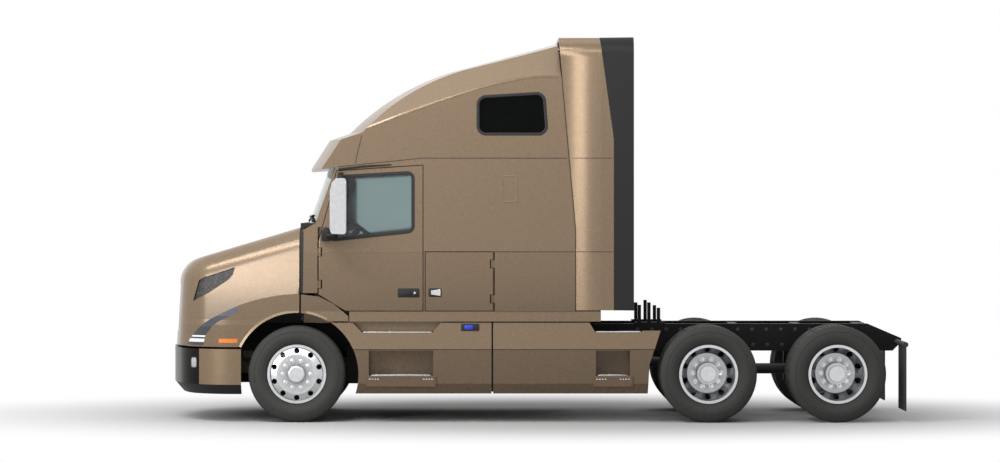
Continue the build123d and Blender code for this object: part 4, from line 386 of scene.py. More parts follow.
def spun_ring(profile, x, y, steps):
    """A closed profile of (across, radius) points spun about an axle line."""
    ring = point_ring([(x, y + across, AXLE_Z + radius) for across, radius in profile])
    bpy.ops.mesh.spin(steps=steps, angle=2 * pi, center=(x, y, AXLE_Z), axis=(0, 1, 0))
    bpy.ops.mesh.select_all(action="SELECT")
    bpy.ops.mesh.remove_doubles(threshold=0.0002)
    bpy.ops.mesh.normals_make_consistent(inside=False)
    bpy.ops.object.mode_set(mode="OBJECT")
    bpy.ops.object.shade_smooth_by_angle(angle=SMOOTH_BELOW)
    return ring


def flat_face(points):
    """One face over a ring of points, left open in edit mode."""
    piece = point_ring(points)
    bpy.ops.mesh.edge_face_add()
    return piece


def thicken(piece, push, bevel, segments):
    """Pushes an open face out to a thickness, rounds its edges and leaves edit mode."""
    bpy.ops.mesh.select_all(action="SELECT")
    bpy.ops.mesh.extrude_region_move(TRANSFORM_OT_translate={"value": push})
    bpy.ops.mesh.select_all(action="SELECT")
    bpy.ops.mesh.normals_make_consistent(inside=False)
    bpy.ops.mesh.bevel(offset=bevel, segments=segments, affect="EDGES", clamp_overlap=True)
    bpy.ops.object.mode_set(mode="OBJECT")
    bpy.ops.object.shade_smooth_by_angle(angle=SMOOTH_BELOW)
    return piece


def slab(points, push, bevel=0.002, segments=2):
    """A plate over a ring of points, pushed out along a vector."""
    return thicken(flat_face(points), push, bevel, segments)


def rim(points, width, push, bevel=0.0015):
    """A flat ring inside an outline, pushed out along a vector."""
    piece = flat_face(points)
    bpy.ops.mesh.inset(thickness=width)
    bpy.ops.mesh.delete(type="FACE")
    return thicken(piece, push, bevel, 2)


def at_y(outline, y):
    """An outline of X and Z at one distance to the side."""
    return [(x, y, z) for x, z in outline]


def at_x(outline, x):
    """An outline of Y and Z at one distance to the front."""
    return [(x, y, z) for y, z in outline]


def block(low_a, low_b, high_a, high_b):
    """The corners of a rectangle."""
    return [(low_a, low_b), (high_a, low_b), (high_a, high_b), (low_a, high_b)]


def rounded(corners, radius, steps=5):
    """A flat outline with its corners turned to arcs."""
    points = []
    for index, corner in enumerate(corners):
        spot = Vector(corner)
        back = (Vector(corners[index - 1]) - spot).normalized()
        ahead = (Vector(corners[(index + 1) % len(corners)]) - spot).normalized()
        half = back.angle(ahead) / 2
        middle = spot + (back + ahead).normalized() * radius / sin(half)
        first = spot + back * radius / tan(half) - middle
        last = spot + ahead * radius / tan(half) - middle
        for step in range(steps + 1):
            points.append(tuple(middle + first.lerp(last, step / steps).normalized() * radius))
    return points


def spread(corners, amount):
    """A flat outline moved outward by an amount, corner by corner."""
    count = len(corners)
    area = sum(corners[i - 1][0] * corners[i][1] - corners[i][0] * corners[i - 1][1] for i in range(count))
    turn = 1 if area > 0 else -1
    moved = []
    for index in range(count):
        spot = Vector(corners[index])
        first = (spot - Vector(corners[index - 1])).normalized()
        second = (Vector(corners[(index + 1) % count]) - spot).normalized()
        out_a = Vector((first.y, -first.x)) * turn
        out_b = Vector((second.y, -second.x)) * turn
        moved.append(tuple(spot + (out_a + out_b) * amount / (1 + out_a.dot(out_b))))
    return moved


def seam(points, width=0.007, lift=0.0015):
    """A narrow raised line along points on a panel's outer face."""
    sink = 0.001
    runs = []
    for start, end in zip(points, points[1:]):
        start, end = Vector(start), Vector(end)
        along = (end - start).normalized()
        across = along.cross(Vector((0, 1, 0))).normalized() * width / 2
        out = across.cross(along).normalized()
        out = out if out.y > 0 else -out
        ring = [start - across, end - across, end + across, start + across]
        runs.append(slab([spot - out * sink for spot in ring], out * (lift + sink), 0.0005, 1))
    return joined(runs)


# Tyres: grooved ribs, stepped sidewall rings and cross-cut lugs, deeper on the drive wheels
HALF_TYRE = (
    (0.016, 0.495), (0.018, 0.481), (0.026, 0.481), (0.028, 0.495), (0.054, 0.495), (0.056, 0.481),
    (0.064, 0.481), (0.066, 0.495), (0.098, 0.495), (0.110, 0.489), (0.119, 0.476), (0.126, 0.459),
    (0.131, 0.446), (0.134, 0.436), (0.132, 0.434), (0.132, 0.430), (0.1355, 0.428), (0.139, 0.410),
    (0.140, 0.396), (0.138, 0.372), (0.132, 0.350), (0.128, 0.341), (0.125, 0.340), (0.1235, 0.336),
    (0.124, 0.331), (0.117, 0.322), (0.1075, 0.309), (0.105, 0.304), (0.105, 0.288),
)
TYRE_PROFILE = HALF_TYRE + tuple((-across, radius) for across, radius in reversed(HALF_TYRE))
TYRE_STEPS = 120
LUG_STEP = 2 * pi / TYRE_STEPS
TREAD_FLOOR_R = 0.49


def cut_lugs(tyre, x, y, low, high, every, depth):
    """Sinks every few tread faces between two distances from the tyre's middle."""
    def chosen(face):
        off = face.center - Vector((x, y, AXLE_Z))
        spoke = Vector((off.x, off.z))
        # The small turn keeps faces on the seam of the full circle in one step
        turn = int((pi + 0.001 + spoke.angle_signed(Vector((1, 0)))) / LUG_STEP)
        outward = Vector((off.x, 0, off.z)).normalized().dot(face.normal) > FACING
        return outward and low < abs(off.y) < high and spoke.length > TREAD_FLOOR_R and turn % every == 0
    pick_faces(tyre, chosen)
    bpy.ops.mesh.extrude_region_shrink_fatten(TRANSFORM_OT_shrink_fatten={"value": -depth})
    bpy.ops.object.mode_set(mode="OBJECT")


steer_tyre = spun_ring(TYRE_PROFILE, STEER_X, STEER_TYRE_Y, TYRE_STEPS)
cut_lugs(steer_tyre, STEER_X, STEER_TYRE_Y, low=0.07, high=0.097, every=3, depth=0.004)
steer_tyres = pair(steer_tyre, "steer_tyre_tread", tyre_rubber, "steer_wheel_{}")
for tyre, hand in zip(steer_tyres, SIDES):
    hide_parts(f"steer_tyre_{hand}")

drive_tyre = spun_ring(TYRE_PROFILE, 0, 0, TYRE_STEPS)
cut_lugs(drive_tyre, 0, 0, low=0.066, high=0.098, every=4, depth=0.012)
cut_lugs(drive_tyre, 0, 0, low=0.0, high=0.055, every=5, depth=0.010)
for tag, x in DRIVE_XS.items():
    body = f"drive_wheel_{tag}_{{}}"
    twins = joined([copy_piece(drive_tyre, Matrix.Translation((x, y, 0))) for y in DRIVE_TYRE_YS])
    drive_tyres = pair(twins, f"drive_tyre_tread_{tag}", tyre_rubber, body)
    for tyre, hand in zip(drive_tyres, SIDES):
        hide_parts(f"drive_tyres_{tag}_{hand}")
bpy.data.objects.remove(drive_tyre)


def hex_head(radius, height, edge, crown, lip, flare):
    """A hexagon head with a chamfered crown and a flared flange, standing along Y."""
    bpy.ops.object.select_all(action="DESELECT")
    bpy.ops.mesh.primitive_cylinder_add(
        vertices=6, radius=radius, depth=height, rotation=(-pi / 2, 0, 0), location=(0, height / 2, 0))
    bpy.ops.object.transform_apply()
    head = bpy.context.object
    pick_faces(head, lambda face: face.normal.y > FACING)
    bpy.ops.mesh.inset(thickness=edge, depth=crown)
    bpy.ops.object.mode_set(mode="OBJECT")
    pick_faces(head, lambda face: face.normal.y < -FACING)
    bpy.ops.mesh.extrude_region_move(TRANSFORM_OT_translate={"value": (0, lip, 0)})
    bpy.ops.transform.resize(value=(flare, 1, flare), center_override=(0, 0, 0))
    bpy.ops.object.mode_set(mode="OBJECT")
    return head


# Wheel nuts: chromed hexagons with a flange and a stud tip, ten to a wheel
NUT_CIRCLE_R = 0.143
NUT_COUNT = 10
NUT_HEIGHT = 0.03
nut = hex_head(radius=0.021, height=NUT_HEIGHT, edge=0.006, crown=0.004, lip=0.001, flare=1.35)
pick_faces(nut, lambda face: face.normal.y > FACING and face.center.y > NUT_HEIGHT)
bpy.ops.mesh.inset(thickness=0.004)
bpy.ops.mesh.extrude_region_move(TRANSFORM_OT_translate={"value": (0, 0.012, 0)})
bpy.ops.object.mode_set(mode="OBJECT")


def nut_ring(x, y):
    """The nuts round an axle line on the left side."""
    turns = [2 * pi * index / NUT_COUNT for index in range(NUT_COUNT)]
    spots = [(x + NUT_CIRCLE_R * cos(turn), y, AXLE_Z + NUT_CIRCLE_R * sin(turn)) for turn in turns]
    return joined([copy_piece(nut, Matrix.Translation(spot)) for spot in spots])


pair(nut_ring(STEER_X, STEER_FACE_Y), "steer_nuts", chrome, "steer_wheel_{}")
for tag, x in DRIVE_XS.items():
    body = f"drive_wheel_{tag}_{{}}"
    pair(nut_ring(x, DRIVE_FACE_Y), f"drive_nuts_{tag}", chrome, body)
bpy.data.objects.remove(nut)

# Frame bolts: flanged heads in two rows along each rail
BOLT_ROWS = ((-3.46, 0.765, 17), (-3.30, 0.925, 16))
BOLT_PITCH = 0.15
bolt = hex_head(radius=0.015, height=0.014, edge=0.003, crown=0.002, lip=0.0005, flare=1.5)
heads = []
for start_x, z, count in BOLT_ROWS:
    for step in range(count):
        heads.append(copy_piece(bolt, Matrix.Translation((start_x + BOLT_PITCH * step, RAIL_Y, z))))
bpy.data.objects.remove(bolt)
pair(joined(heads), "frame_bolts", axle_iron, "chassis")

# Seams of the panels
BODY_SEAMS = (
    ("roof_seam", ((2.045, 2.6165), (1.19, ROOF_SEAM_Z), (-0.30, ROOF_SEAM_Z))),
    ("side_seam", ((0.438, SIDE_SEAM_Z), (-0.374, SIDE_SEAM_Z))),
    ("brow_seam", ((1.868, 2.655), (1.80, 2.94))),
)
for name, outline in BODY_SEAMS:
    pair(seam(at_y(outline, BODY_Y)), name, gap_rubber, "chassis")
EXTENDER_SEAMS = (
    ("extender_seam_high", ROOF_SEAM_Z, -0.355, -0.757), ("extender_seam_low", SIDE_SEAM_Z, -0.395, -0.768))
for name, z, start, end in EXTENDER_SEAMS:
    end_y = BODY_Y + EXTENDER_FLARE * (EXTENDER_BEND_X - end)
    line = ((start, BODY_Y, z), (EXTENDER_BEND_X, BODY_Y, z), (end, end_y, z))
    pair(seam(line, width=0.006), name, gap_rubber, "chassis")


def through(points, x):
    """The height at x of the one smooth curve through a few points of X and Z."""
    height = 0.0
    for own_x, z in points:
        for other_x, _ in points:
            if other_x != own_x:
                z *= (x - other_x) / (own_x - other_x)
        height += z
    return height


def side_of(node, x, z):
    """The Y of a node's outer face on the left side."""
    hit, spot, _, _ = nodes[node].ray_cast((x, 3.0, z), (0, -1, 0))
    return spot.y if hit else BODY_Y


def lay_flush(line, node, beyond):
    """Lays one edge of a raised line flush on its panel, so that the line's face rolls outward."""
    proud = 0.0005
    for vertex in line.data.vertices:
        if beyond(vertex.co):
            vertex.co.y = min(vertex.co.y, side_of(node, vertex.co.x, vertex.co.z) + proud)


# Below the roof's crease the panel rolls out to a fine edge that catches the light
CREASE = ((1.848, 2.992), (1.221, 3.229), (0.748, 3.390), (0.404, 3.486), (-0.207, 3.552))
CREASE_DROP = 0.011
CREASE_START_X = 1.77
CREASE_STEP = 0.0825
CREASE_STOPS = 25
crease_run = [CREASE_START_X - CREASE_STEP * step for step in range(CREASE_STOPS)]
crease_line = [(x, BODY_Y, through(CREASE, x) - CREASE_DROP) for x in crease_run]
crease_edge = seam(crease_line, width=0.02, lift=0.006)
lay_flush(crease_edge, "roof_shell", lambda spot: spot.z > through(CREASE, spot.x) - CREASE_DROP)
pair(crease_edge, "roof_crease_edge", paint, "chassis")

# The fenders roll out to a lip round the wheel arch
LIP_R = 0.642
LIP_STEPS = 16
LIPS = (("hood_lip", "hood", "hood", 26, 92), ("fender_lip", "fender_rears", "chassis", 99, 119))
for name, node, body, start, end in LIPS:
    arc = [radians(start + (end - start) * step / LIP_STEPS) for step in range(LIP_STEPS + 1)]
    spots = [(STEER_X + LIP_R * cos(turn), AXLE_Z + LIP_R * sin(turn)) for turn in arc]
    lip = seam([(x, side_of(node, x, z), z) for x, z in spots], width=0.026, lift=0.007)
    lay_flush(lip, node, lambda spot: Vector((spot.x - STEER_X, spot.z - AXLE_Z)).length > LIP_R)
    pair(lip, name, paint, body)

# Bead of the sleeper's vent cover, and the fold across each door
vent_bead = rim(at_y(rounded(block(0.2114, 2.2523, 0.3696, 2.528), 0.02), TRIM_Y), 0.011, (0, 0.004, 0))
pair(vent_bead, "vent_cover_bead", paint, "chassis")
door_crease = slab(at_y(block(1.19, 1.7405, 2.215, 1.7455), 1.1995), (0, 0.003, 0), 0.0012)
pair(door_crease, "door_crease", paint, "door_{}")

# Rubber round the panes
DOOR_PANE = [(1.27675, 1.958), (2.14975, 1.862), (2.06175, 2.237), (1.99475, 2.52), (1.27675, 2.56)]
DOOR_PANE_R = 0.06
SLEEPER_PANE = [(0.61175, 2.952), (0.61175, 3.330), (-0.06025, 3.370), (-0.09225, 2.952)]
SLEEPER_PANE_R = 0.08
GASKET = 0.016
door_ring = rounded(spread(DOOR_PANE, GASKET), DOOR_PANE_R + GASKET, 8)
door_gasket = rim(at_y(door_ring, 1.196), 0.034, (0, 0.008, 0), 0.003)
pair(door_gasket, "door_pane_rubber", gap_rubber, "door_{}")
sleeper_ring = rounded(spread(SLEEPER_PANE, GASKET), SLEEPER_PANE_R + GASKET, 8)
sleeper_gasket = rim(at_y(sleeper_ring, 1.178), 0.030, (0, 0.026, 0), 0.003)
pair(sleeper_gasket, "sleeper_pane_rubber", gap_rubber, "chassis")

# Seals behind the gaps of doors, hatches and fairings
DOOR_EDGE = [(1.17875, 1.146), (1.96975, 1.146), (2.24575, 1.317), (2.24575, 1.84), (2.13375, 2.237),
             (2.05675, 2.572), (1.17875, 2.63)]
HATCH_EDGE = block(0.45075, 1.146, 1.14875, 1.744)
SEAL_OUT = 0.034
SEAL_WIDTH = 0.095
for name, edge in (("door_seal", DOOR_EDGE), ("hatch_seal", HATCH_EDGE)):
    seal = rim(at_y(spread(edge, SEAL_OUT), SEAL_Y), SEAL_WIDTH, (0, 0.018, 0))
    pair(seal, name, gap_rubber, "chassis")
split_seal = slab(at_y(block(0.425, 0.315, 0.508, 1.00), 1.118), (0, 0.012, 0), 0.003)
pair(split_seal, "fairing_split_seal", gap_rubber, "chassis")
corner_seal = slab(at_y(block(1.88, 1.07, 2.02, 1.17), 1.085), (0, 0.012, 0), 0.003)
pair(corner_seal, "door_corner_seal", gap_rubber, "chassis")

# Weather strip along the cab's front edge, which the hood closes on
HOOD_STRIP = [(2.404, 1.325), (2.4285, 1.325), (2.4285, 1.962), (2.396, 1.962)]
hood_strip = slab(at_y(HOOD_STRIP, 1.1985), (0, 0.0035, 0), 0.0012)
pair(hood_strip, "hood_weather_strip", gap_rubber, "chassis")

# Splash shield inboard of each steer wheel, hung from the frame rail
SHIELD = [(1.70, 0.36), (1.985, 0.36), (1.985, 0.72), (1.90, 0.96), (1.70, 0.96)]
shield = slab(at_y(rounded(SHIELD, 0.03), RAIL_Y + 0.0005), (0, 0.012, 0), 0.003)
pair(shield, "splash_shield", flap_rubber, "chassis")

# Fine screen behind the grille's bars
screen_ring = rounded(block(-0.468, 0.906, 0.468, 1.398), 0.02)
screen = slab(at_x(screen_ring, 3.652), (0.012, 0, 0), 0.002)
finish_piece(screen, "grille_screen", vent_mesh, "hood")


def on_glass(y, z):
    """A spot on the windscreen's outer face, with the way the glass faces there."""
    _, spot, out, _ = nodes["windscreen"].ray_cast((5.0, y, z), (-1, 0, 0))
    return spot, out


def strip_on_glass(stops, half_width, height):
    """Bars along stops of Y and Z on the windscreen, standing up from the glass."""
    clear = 0.001
    spots = [on_glass(y, z) for y, z in stops]
    bars = []
    for (start, out), (end, _) in zip(spots, spots[1:]):
        across = out.cross(end - start).normalized() * half_width
        ring = [start - across, end - across, end + across, start + across]
        bars.append(slab([spot + out * clear for spot in ring], out * height, 0.003, 1))
    return bars


# Wipers parked along the foot of the windscreen: a blade in short runs that follow the glass, and an arm
WIPER_HINGE_YS = {"left": 0.98, "right": -0.02}
BLADE_TIP = 0.86
BLADE_RUN = 0.08
BLADE_RISE = 0.004
BLADE_STOPS = 9
for hand, hinge_y in WIPER_HINGE_YS.items():
    tip_y = hinge_y - BLADE_TIP
    blade_stops = [(tip_y + BLADE_RUN * step, 2.085 + BLADE_RISE * step) for step in range(BLADE_STOPS)]
    arm_stops = [(hinge_y, 2.052), (hinge_y - 0.2, 2.080), (hinge_y - 0.48, 2.100)]
    wiper = joined(strip_on_glass(blade_stops, 0.007, 0.016) + strip_on_glass(arm_stops, 0.011, 0.026))
    finish_piece(wiper, f"wiper_{hand}", black_plastic, "chassis")

# Corner plates that close the extenders' frame above the roof's creased edges
CORNER = [(1.178, 3.522), (1.178, 3.80), (1.165, 3.855), (1.115, 3.90), (1.06, 3.925), (0.775, 3.925)]
corner_plate = slab(at_x(CORNER, -0.602), (0.014, 0, 0), 0.001)
pair(corner_plate, "roof_corner_plate", paint, "chassis")

# Fog lamps let into the bumper's corners
FOG_OUT = Vector((0.66, 0.75, 0.0)).normalized()
FOG_ALONG = Vector((0, 0, 1)).cross(FOG_OUT)
FOG_SPOT = nodes["bumper"].ray_cast((3.53, 3.0, 0.61), (0, -1, 0))[1]
FOG_SINK = FOG_OUT * 0.008
LENS_SHARE = 0.82
fog_ring = [FOG_ALONG * u + Vector((0, 0, v)) for u, v in rounded(block(-0.05, -0.062, 0.05, 0.062), 0.03)]
fog_bezel = rim([FOG_SPOT + spot - FOG_SINK for spot in fog_ring], 0.012, FOG_OUT * 0.014)
pair(fog_bezel, "fog_lamp_bezel", black_plastic, "chassis")
fog_lens = slab([FOG_SPOT + spot * LENS_SHARE - FOG_SINK for spot in fog_ring], FOG_OUT * 0.011, 0.004)
pair(fog_lens, "fog_lamp_lens", fog_glass, "chassis")

# Door handle: a moulded cup with a pull flap and a key barrel
handle_cup = slab(at_y(rounded(block(1.212, 1.282, 1.434, 1.373), 0.014), TRIM_Y), (0, 0.006, 0), 0.003)
handle_flap = slab(at_y(rounded(block(1.300, 1.298, 1.424, 1.357), 0.010), 1.204), (0, 0.009, 0), 0.004)
pair(joined([handle_cup, handle_flap]), "door_handle", black_plastic, "door_{}")
key_barrel = slab(at_y(rounded(block(1.248, 1.316, 1.272, 1.340), 0.0118), 1.204), (0, 0.005, 0), 0.0015)
pair(key_barrel, "key_barrel", chrome, "door_{}")

# Hatch latch: a bright paddle in a dark dish
latch_dish = slab(at_y(rounded(block(0.986, 1.286, 1.119, 1.375), 0.016), TRIM_Y), (0, 0.004, 0), 0.0015)
pair(latch_dish, "latch_dish", black_plastic, "luggage_door_{}")
PADDLE = [(0.996, 1.298), (1.092, 1.312), (1.092, 1.350), (0.996, 1.366)]
latch_paddle = slab(at_y(rounded(PADDLE, 0.007), 1.203), (0, 0.010, 0), 0.004)
pair(latch_paddle, "latch_paddle", chrome, "luggage_door_{}")

# Fluid filler: a dark dish in the fairing with a blue cap
filler_dish = slab(at_y(rounded(block(0.602, 0.940, 0.786, 1.012), 0.008), 1.166), (0, 0.027, 0), 0.002)
pair(filler_dish, "filler_dish", black_plastic, "chassis")
filler_cap = slab(at_y(rounded(block(0.662, 0.953, 0.752, 0.999), 0.018), 1.192), (0, 0.008, 0), 0.003)
pair(filler_cap, "filler_cap", blue_cap, "chassis")

# Drip rail over each door
DRIP_RAIL = [(2.040, 2.580), (2.040, 2.603), (1.780, 2.632), (1.500, 2.643), (1.500, 2.633), (1.780, 2.612)]
drip_rail = slab(at_y(DRIP_RAIL, TRIM_Y), (0, 0.024, 0), 0.004)
pair(drip_rail, "drip_rail", black_plastic, "chassis")

# Steps: bright nosings on the ledges, framed treads with cleats and studs
NOSINGS = (block(1.085, 0.9195, 1.79, 0.931), block(-1.050, 0.9225, -0.592, 0.934))
nosings = [slab(at_y(outline, 1.10), (0, 0.093, 0), 0.004) for outline in NOSINGS]
pair(joined(nosings), "step_nosings", tank_metal, "chassis")
STUD_PITCH = 0.028
STUD_COUNT = 4
CLEAT_PITCH = 0.034
CLEAT_COUNT = 7
for tag, low, high in (("front", 1.044, 1.757), ("rear", -0.966, -0.566)):
    tread_ring = rounded(block(low, 0.374, high, 0.472), 0.008, 2)
    tread_frame = rim(at_y(tread_ring, 1.2125), 0.012, (0, 0.004, 0))
    pair(tread_frame, f"tread_frame_{tag}", paint, "chassis")
    studs = []
    for start in (low + 0.03, high - 0.132):
        for step in range(STUD_COUNT):
            x = start + STUD_PITCH * step
            stud_ring = rounded(block(x, 0.440, x + 0.016, 0.451), 0.004, 2)
            studs.append(slab(at_y(stud_ring, 1.2128), (0, 0.006, 0), 0.001))
    pair(joined(studs), f"tread_studs_{tag}", chrome, "chassis")
    cleats = []
    for step in range(CLEAT_COUNT):
        cleat_ring = at_y(block(low + 0.05, 0.4795, high - 0.05, 0.486), 0.96 + CLEAT_PITCH * step)
        cleats.append(slab(cleat_ring, (0, 0.016, 0), 0.002))
    pair(joined(cleats), f"tread_cleats_{tag}", tank_metal, "chassis")

# Mirrors: a polished shell on two black arms, the pane facing back
SHELL = [(1.952, 1.930), (2.098, 1.934), (2.112, 1.975), (2.112, 2.370), (2.092, 2.455), (2.052, 2.498),
         (1.952, 2.498)]
FOOT = [(2.120, 1.858), (2.212, 1.858), (2.212, 1.960), (2.180, 2.002), (2.120, 1.985)]
ARM = [(1.235, 1.868), (1.300, 1.874), (1.440, 1.905), (1.440, 1.936), (1.330, 1.936), (1.235, 1.915)]
STAY = [(1.199, 2.525), (1.199, 2.560), (1.250, 2.560), (1.420, 2.510), (1.420, 2.488), (1.250, 2.530)]
shell = slab(at_y(rounded(SHELL, 0.02, 3), 1.262), (0, 0.252, 0), 0.026, 4)
pane = slab(at_x(rounded(block(1.285, 1.955, 1.492, 2.478), 0.03), 1.9525), (-0.004, 0, 0), 0.001)
foot = slab(at_y(rounded(FOOT, 0.012), BODY_Y), (0, 0.055, 0), 0.010)
arm = slab(at_x(ARM, 2.060), (0.090, 0, 0), 0.008)
stay = slab(at_x(STAY, 1.990), (0.055, 0, 0), 0.006)
shells = pair(shell, "mirror_shell", chrome, "door_{}")
pair(pane, "mirror_pane", chrome, "door_{}")
pair(joined([foot, arm, stay]), "mirror_arms", black_plastic, "door_{}")
for piece, hand in zip(shells, SIDES):
    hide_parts(f"mirror_{hand}")


# How hard and how long air swells a cover, and the most that it may move
AIR_PRESSURE = 4.0
SWELL_FRAMES = 20
SWELL_MOST = 0.02


def stuffed(piece, voxel, channels, lowest):
    """Swells a closed cover by air pressure, sinks it along channels and keeps it above what it rests on.

    A channel is the axis that its lines are spaced on, their places, half their width and the way they sink.
    """
    work_on(piece)
    grid = piece.modifiers.new("even_grid", "REMESH")
    grid.mode = "VOXEL"
    grid.voxel_size = voxel
    bpy.ops.object.modifier_apply(modifier=grid.name)
    flat = [vertex.co.copy() for vertex in piece.data.vertices]
    cloth = piece.modifiers.new("air_pressure", "CLOTH")
    cloth.settings.use_pressure = True
    cloth.settings.uniform_pressure_force = AIR_PRESSURE
    cloth.settings.effector_weights.gravity = 0.0
    for step in range(1, SWELL_FRAMES + 1):
        bpy.context.scene.frame_set(step)
    bpy.ops.object.modifier_apply(modifier=cloth.name)
    bpy.context.scene.frame_set(1)
    for vertex, start in zip(piece.data.vertices, flat):
        move = vertex.co - start
        if move.length > SWELL_MOST:
            vertex.co = start + move.normalized() * SWELL_MOST
    for axis, spots, half_width, sink in channels:
        for vertex in piece.data.vertices:
            near = min(abs(vertex.co[axis] - spot) for spot in spots) / half_width
            if near < 1:
                vertex.co -= sink * (1 - near) ** 2
    for vertex in piece.data.vertices:
        vertex.co.z = max(vertex.co.z, lowest)
    smooth = piece.modifiers.new("smooth", "SUBSURF")
    smooth.levels = smooth.render_levels = 1
    bpy.ops.object.modifier_apply(modifier=smooth.name)
    bpy.ops.object.shade_smooth()
    return piece


# Seats: stuffed covers on a bellows base, swollen by air pressure, then sewn down along their channels
SEAT_Y = 0.56
SEAT_HALF_W = 0.215
SEAT_PAN_Z = 1.50
BACK_FOOT_Z = 1.6
SEAT_VOXEL = 0.013
BASE_PLATES = (
    (1.149, 1.140, 1.549, 1.180, 0.200), (1.190, 1.180, 1.510, 1.235, 0.165),
    (1.175, 1.235, 1.525, 1.265, 0.180), (1.190, 1.265, 1.510, 1.320, 0.165),
    (1.175, 1.320, 1.525, 1.350, 0.180), (1.190, 1.350, 1.510, 1.405, 0.165),
    (1.175, 1.405, 1.525, 1.435, 0.180), (1.160, 1.435, 1.660, SEAT_PAN_Z, SEAT_HALF_W),
)
base_plates = []
for low_x, low_z, high_x, high_z, half_width in BASE_PLATES:
    outline = rounded(block(low_x, low_z, high_x, high_z), 0.012, 2)
    base_plates.append(slab(at_y(outline, SEAT_Y - half_width), (0, 2 * half_width, 0), 0.006))
seat_base = joined(base_plates)
pair(seat_base, "seat_base", cabin_plastic, "chassis")
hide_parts("seats")

CUSHION = block(1.222, 1.508, 1.652, 1.598)
CUSHION_CHANNELS = ((1, (SEAT_Y - 0.11, SEAT_Y + 0.11), 0.03, Vector((0, 0, 0.012))),)
BACK = [(1.170, 1.640), (1.066, 2.322), (0.986, 2.322), (1.084, 1.640)]
BACK_CHANNELS = (
    (1, (SEAT_Y - 0.12, SEAT_Y + 0.12), 0.03, Vector((0.010, 0, 0))),
    (2, (2.05,), 0.035, Vector((0.012, 0, 0))),
)
COVERS = (
    ("seat_cushion", CUSHION, CUSHION_CHANNELS, SEAT_PAN_Z),
    ("seat_back", BACK, BACK_CHANNELS, BACK_FOOT_Z),
)
for name, outline, channels, lowest in COVERS:
    cover_ring = at_y(rounded(outline, 0.03), SEAT_Y - SEAT_HALF_W)
    cover = stuffed(slab(cover_ring, (0, 2 * SEAT_HALF_W, 0), 0.025, 3), SEAT_VOXEL, channels, lowest)
    for cushion in pair(cover, name, seat_cloth, "chassis"):
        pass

# Bunk: a panelled box with a quilted mattress
BUNK_TOP_Z = 1.545
bunk_base = slab(at_y(block(-0.583, 1.14, 0.205, BUNK_TOP_Z), -1.115), (0, 2.23, 0), 0.01)
pick_faces(bunk_base, lambda face: face.normal.x > FACING and face.area > 0.2)
bpy.ops.mesh.subdivide(number_cuts=2)
bpy.ops.mesh.inset(thickness=0.02, depth=-0.008, use_individual=True)
bpy.ops.object.mode_set(mode="OBJECT")
finish_piece(bunk_base, "bunk_base", cabin_plastic, "chassis")
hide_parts("bunk")
QUILT_SINK = Vector((0, 0, 0.014))
QUILT_CHANNELS = (
    (1, (-0.78, -0.39, 0.0, 0.39, 0.78), 0.045, QUILT_SINK),
    (0, (-0.31, -0.06), 0.045, QUILT_SINK),
)
mattress = slab(at_y(rounded(block(-0.560, 1.56, 0.194, 1.722), 0.03), -1.09), (0, 2.18, 0), 0.03, 3)
stuffed(mattress, 0.022, QUILT_CHANNELS, BUNK_TOP_Z)
finish_piece(mattress, "bunk_mattress", seat_cloth, "chassis")


def in_view(tree):
    """1 on rays that show the background to the eye: seen straight, in metal or through glass."""
    rays = add_node(tree, "ShaderNodeLightPath", {})
    shown = rays.outputs["Is Camera Ray"]
    for kind in ("Is Glossy Ray", "Is Transmission Ray"):
        either = add_node(tree, "ShaderNodeMath", {0: shown, 1: rays.outputs[kind]}, operation="MAXIMUM")
        shown = either.outputs[0]
    return shown


# Studio floor: a pale grey near the truck that takes its shadow, and white farther out.
# Where the eye doesn't see it, it is darker, so that it throws less light up under the truck.
FLOOR_OVAL = (0.6, 1.0, 1.0)
GREY_TO = 1.7
WHITE_FROM = 4.5
bpy.ops.mesh.primitive_plane_add(size=400, location=(0, 0, 0))
floor = bpy.context.object
floor.name = "studio_floor"
floor_finish, tree, shader, place = new_material("pale_studio_floor", roughness=0.95, specular_ior_level=0.0)
seen = in_view(tree)
tone = add_node(tree, "ShaderNodeMix", {
    "Factor": seen, 6: linear("#4C4A48"), 7: linear("#B8B8B8")}, data_type="RGBA")
tree.links.new(tone.outputs[2], shader.inputs["Base Color"])
oval = add_node(tree, "ShaderNodeVectorMath", {0: place, 1: FLOOR_OVAL}, operation="MULTIPLY")
reach = add_node(tree, "ShaderNodeVectorMath", {0: oval.outputs["Vector"]}, operation="LENGTH")
fade = add_node(tree, "ShaderNodeMapRange", {
    "Value": reach.outputs["Value"], "From Min": GREY_TO, "From Max": WHITE_FROM},
    interpolation_type="SMOOTHSTEP")
glow_level = add_node(tree, "ShaderNodeMapRange", {"Value": seen, "To Min": 0.45, "To Max": 1.0})
glow = add_node(tree, "ShaderNodeEmission", {"Color": (1, 1, 1, 1), "Strength": glow_level.outputs["Result"]})
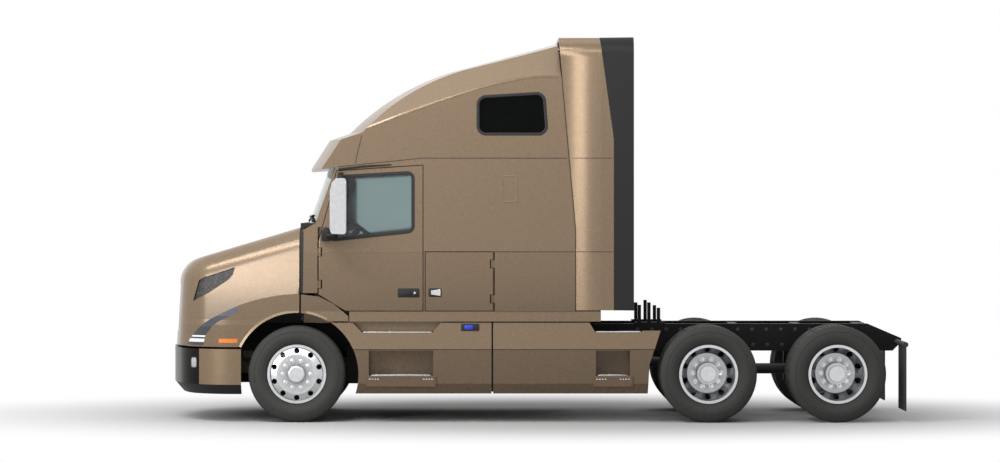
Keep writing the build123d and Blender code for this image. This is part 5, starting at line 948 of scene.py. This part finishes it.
blend = add_node(tree, "ShaderNodeMixShader", {
    0: fade.outputs["Result"], 1: shader.outputs["BSDF"], 2: glow.outputs["Emission"]})
tree.links.new(blend.outputs["Shader"], tree.nodes["Material Output"].inputs["Surface"])
floor.data.materials.append(floor_finish)

# White surroundings: full white to the eye, less as light on the truck
world = bpy.data.worlds.new("studio_white")
bpy.context.scene.world = world
world.use_nodes = True
tree = world.node_tree
background = tree.nodes["Background"]
background.inputs["Color"].default_value = (1, 1, 1, 1)
level = add_node(tree, "ShaderNodeMapRange", {"Value": in_view(tree), "To Min": 0.46, "To Max": 1.0})
tree.links.new(level.outputs["Result"], background.inputs["Strength"])

# Soft boxes: name, place, aim, width and height in metres, and power in watts
SOFT_BOXES = (
    ("overhead", (0.0, 0.5, 11.0), (0.0, 0.0, 1.5), (14.0, 6.0), 220.0),
    ("hood_shoulder", (6.0, 6.0, 9.0), (2.6, 0.9, 1.75), (8.0, 1.5), 720.0),
    ("left_side", (3.0, 10.0, 6.4), (1.5, 0.0, 1.8), (12.0, 2.4), 300.0),
    ("right_side", (-1.5, -12.0, 9.0), (0.0, 0.0, 2.2), (13.0, 4.0), 160.0),
    ("front_left", (11.0, 12.0, 4.0), (0.5, 0.9, 2.0), (5.0, 5.0), 760.0),
)
for name, spot, aim, (wide, high), power in SOFT_BOXES:
    lamp = bpy.data.lights.new(name, "AREA")
    lamp.shape = "RECTANGLE"
    lamp.size = wide
    lamp.size_y = high
    lamp.energy = power
    stand = bpy.data.objects.new(name, lamp)
    stand.location = spot
    stand.rotation_euler = (Vector(aim) - Vector(spot)).to_track_quat("-Z", "Y").to_euler()
    bpy.context.collection.objects.link(stand)

# Camera: level, square to the left side, far back
lens = bpy.data.cameras.new("side_camera")
lens.sensor_width = 36.0
lens.lens = 119.5
lens.shift_x = 0.013
lens.shift_y = -0.035
lens.clip_end = 500.0
camera = bpy.data.objects.new("side_camera", lens)
camera.location = (0.521, 35.12, 2.318)
camera.rotation_euler = (pi / 2, 0, pi)
bpy.context.collection.objects.link(camera)
bpy.context.scene.camera = camera
bpy.context.scene.view_settings.view_transform = "Standard"
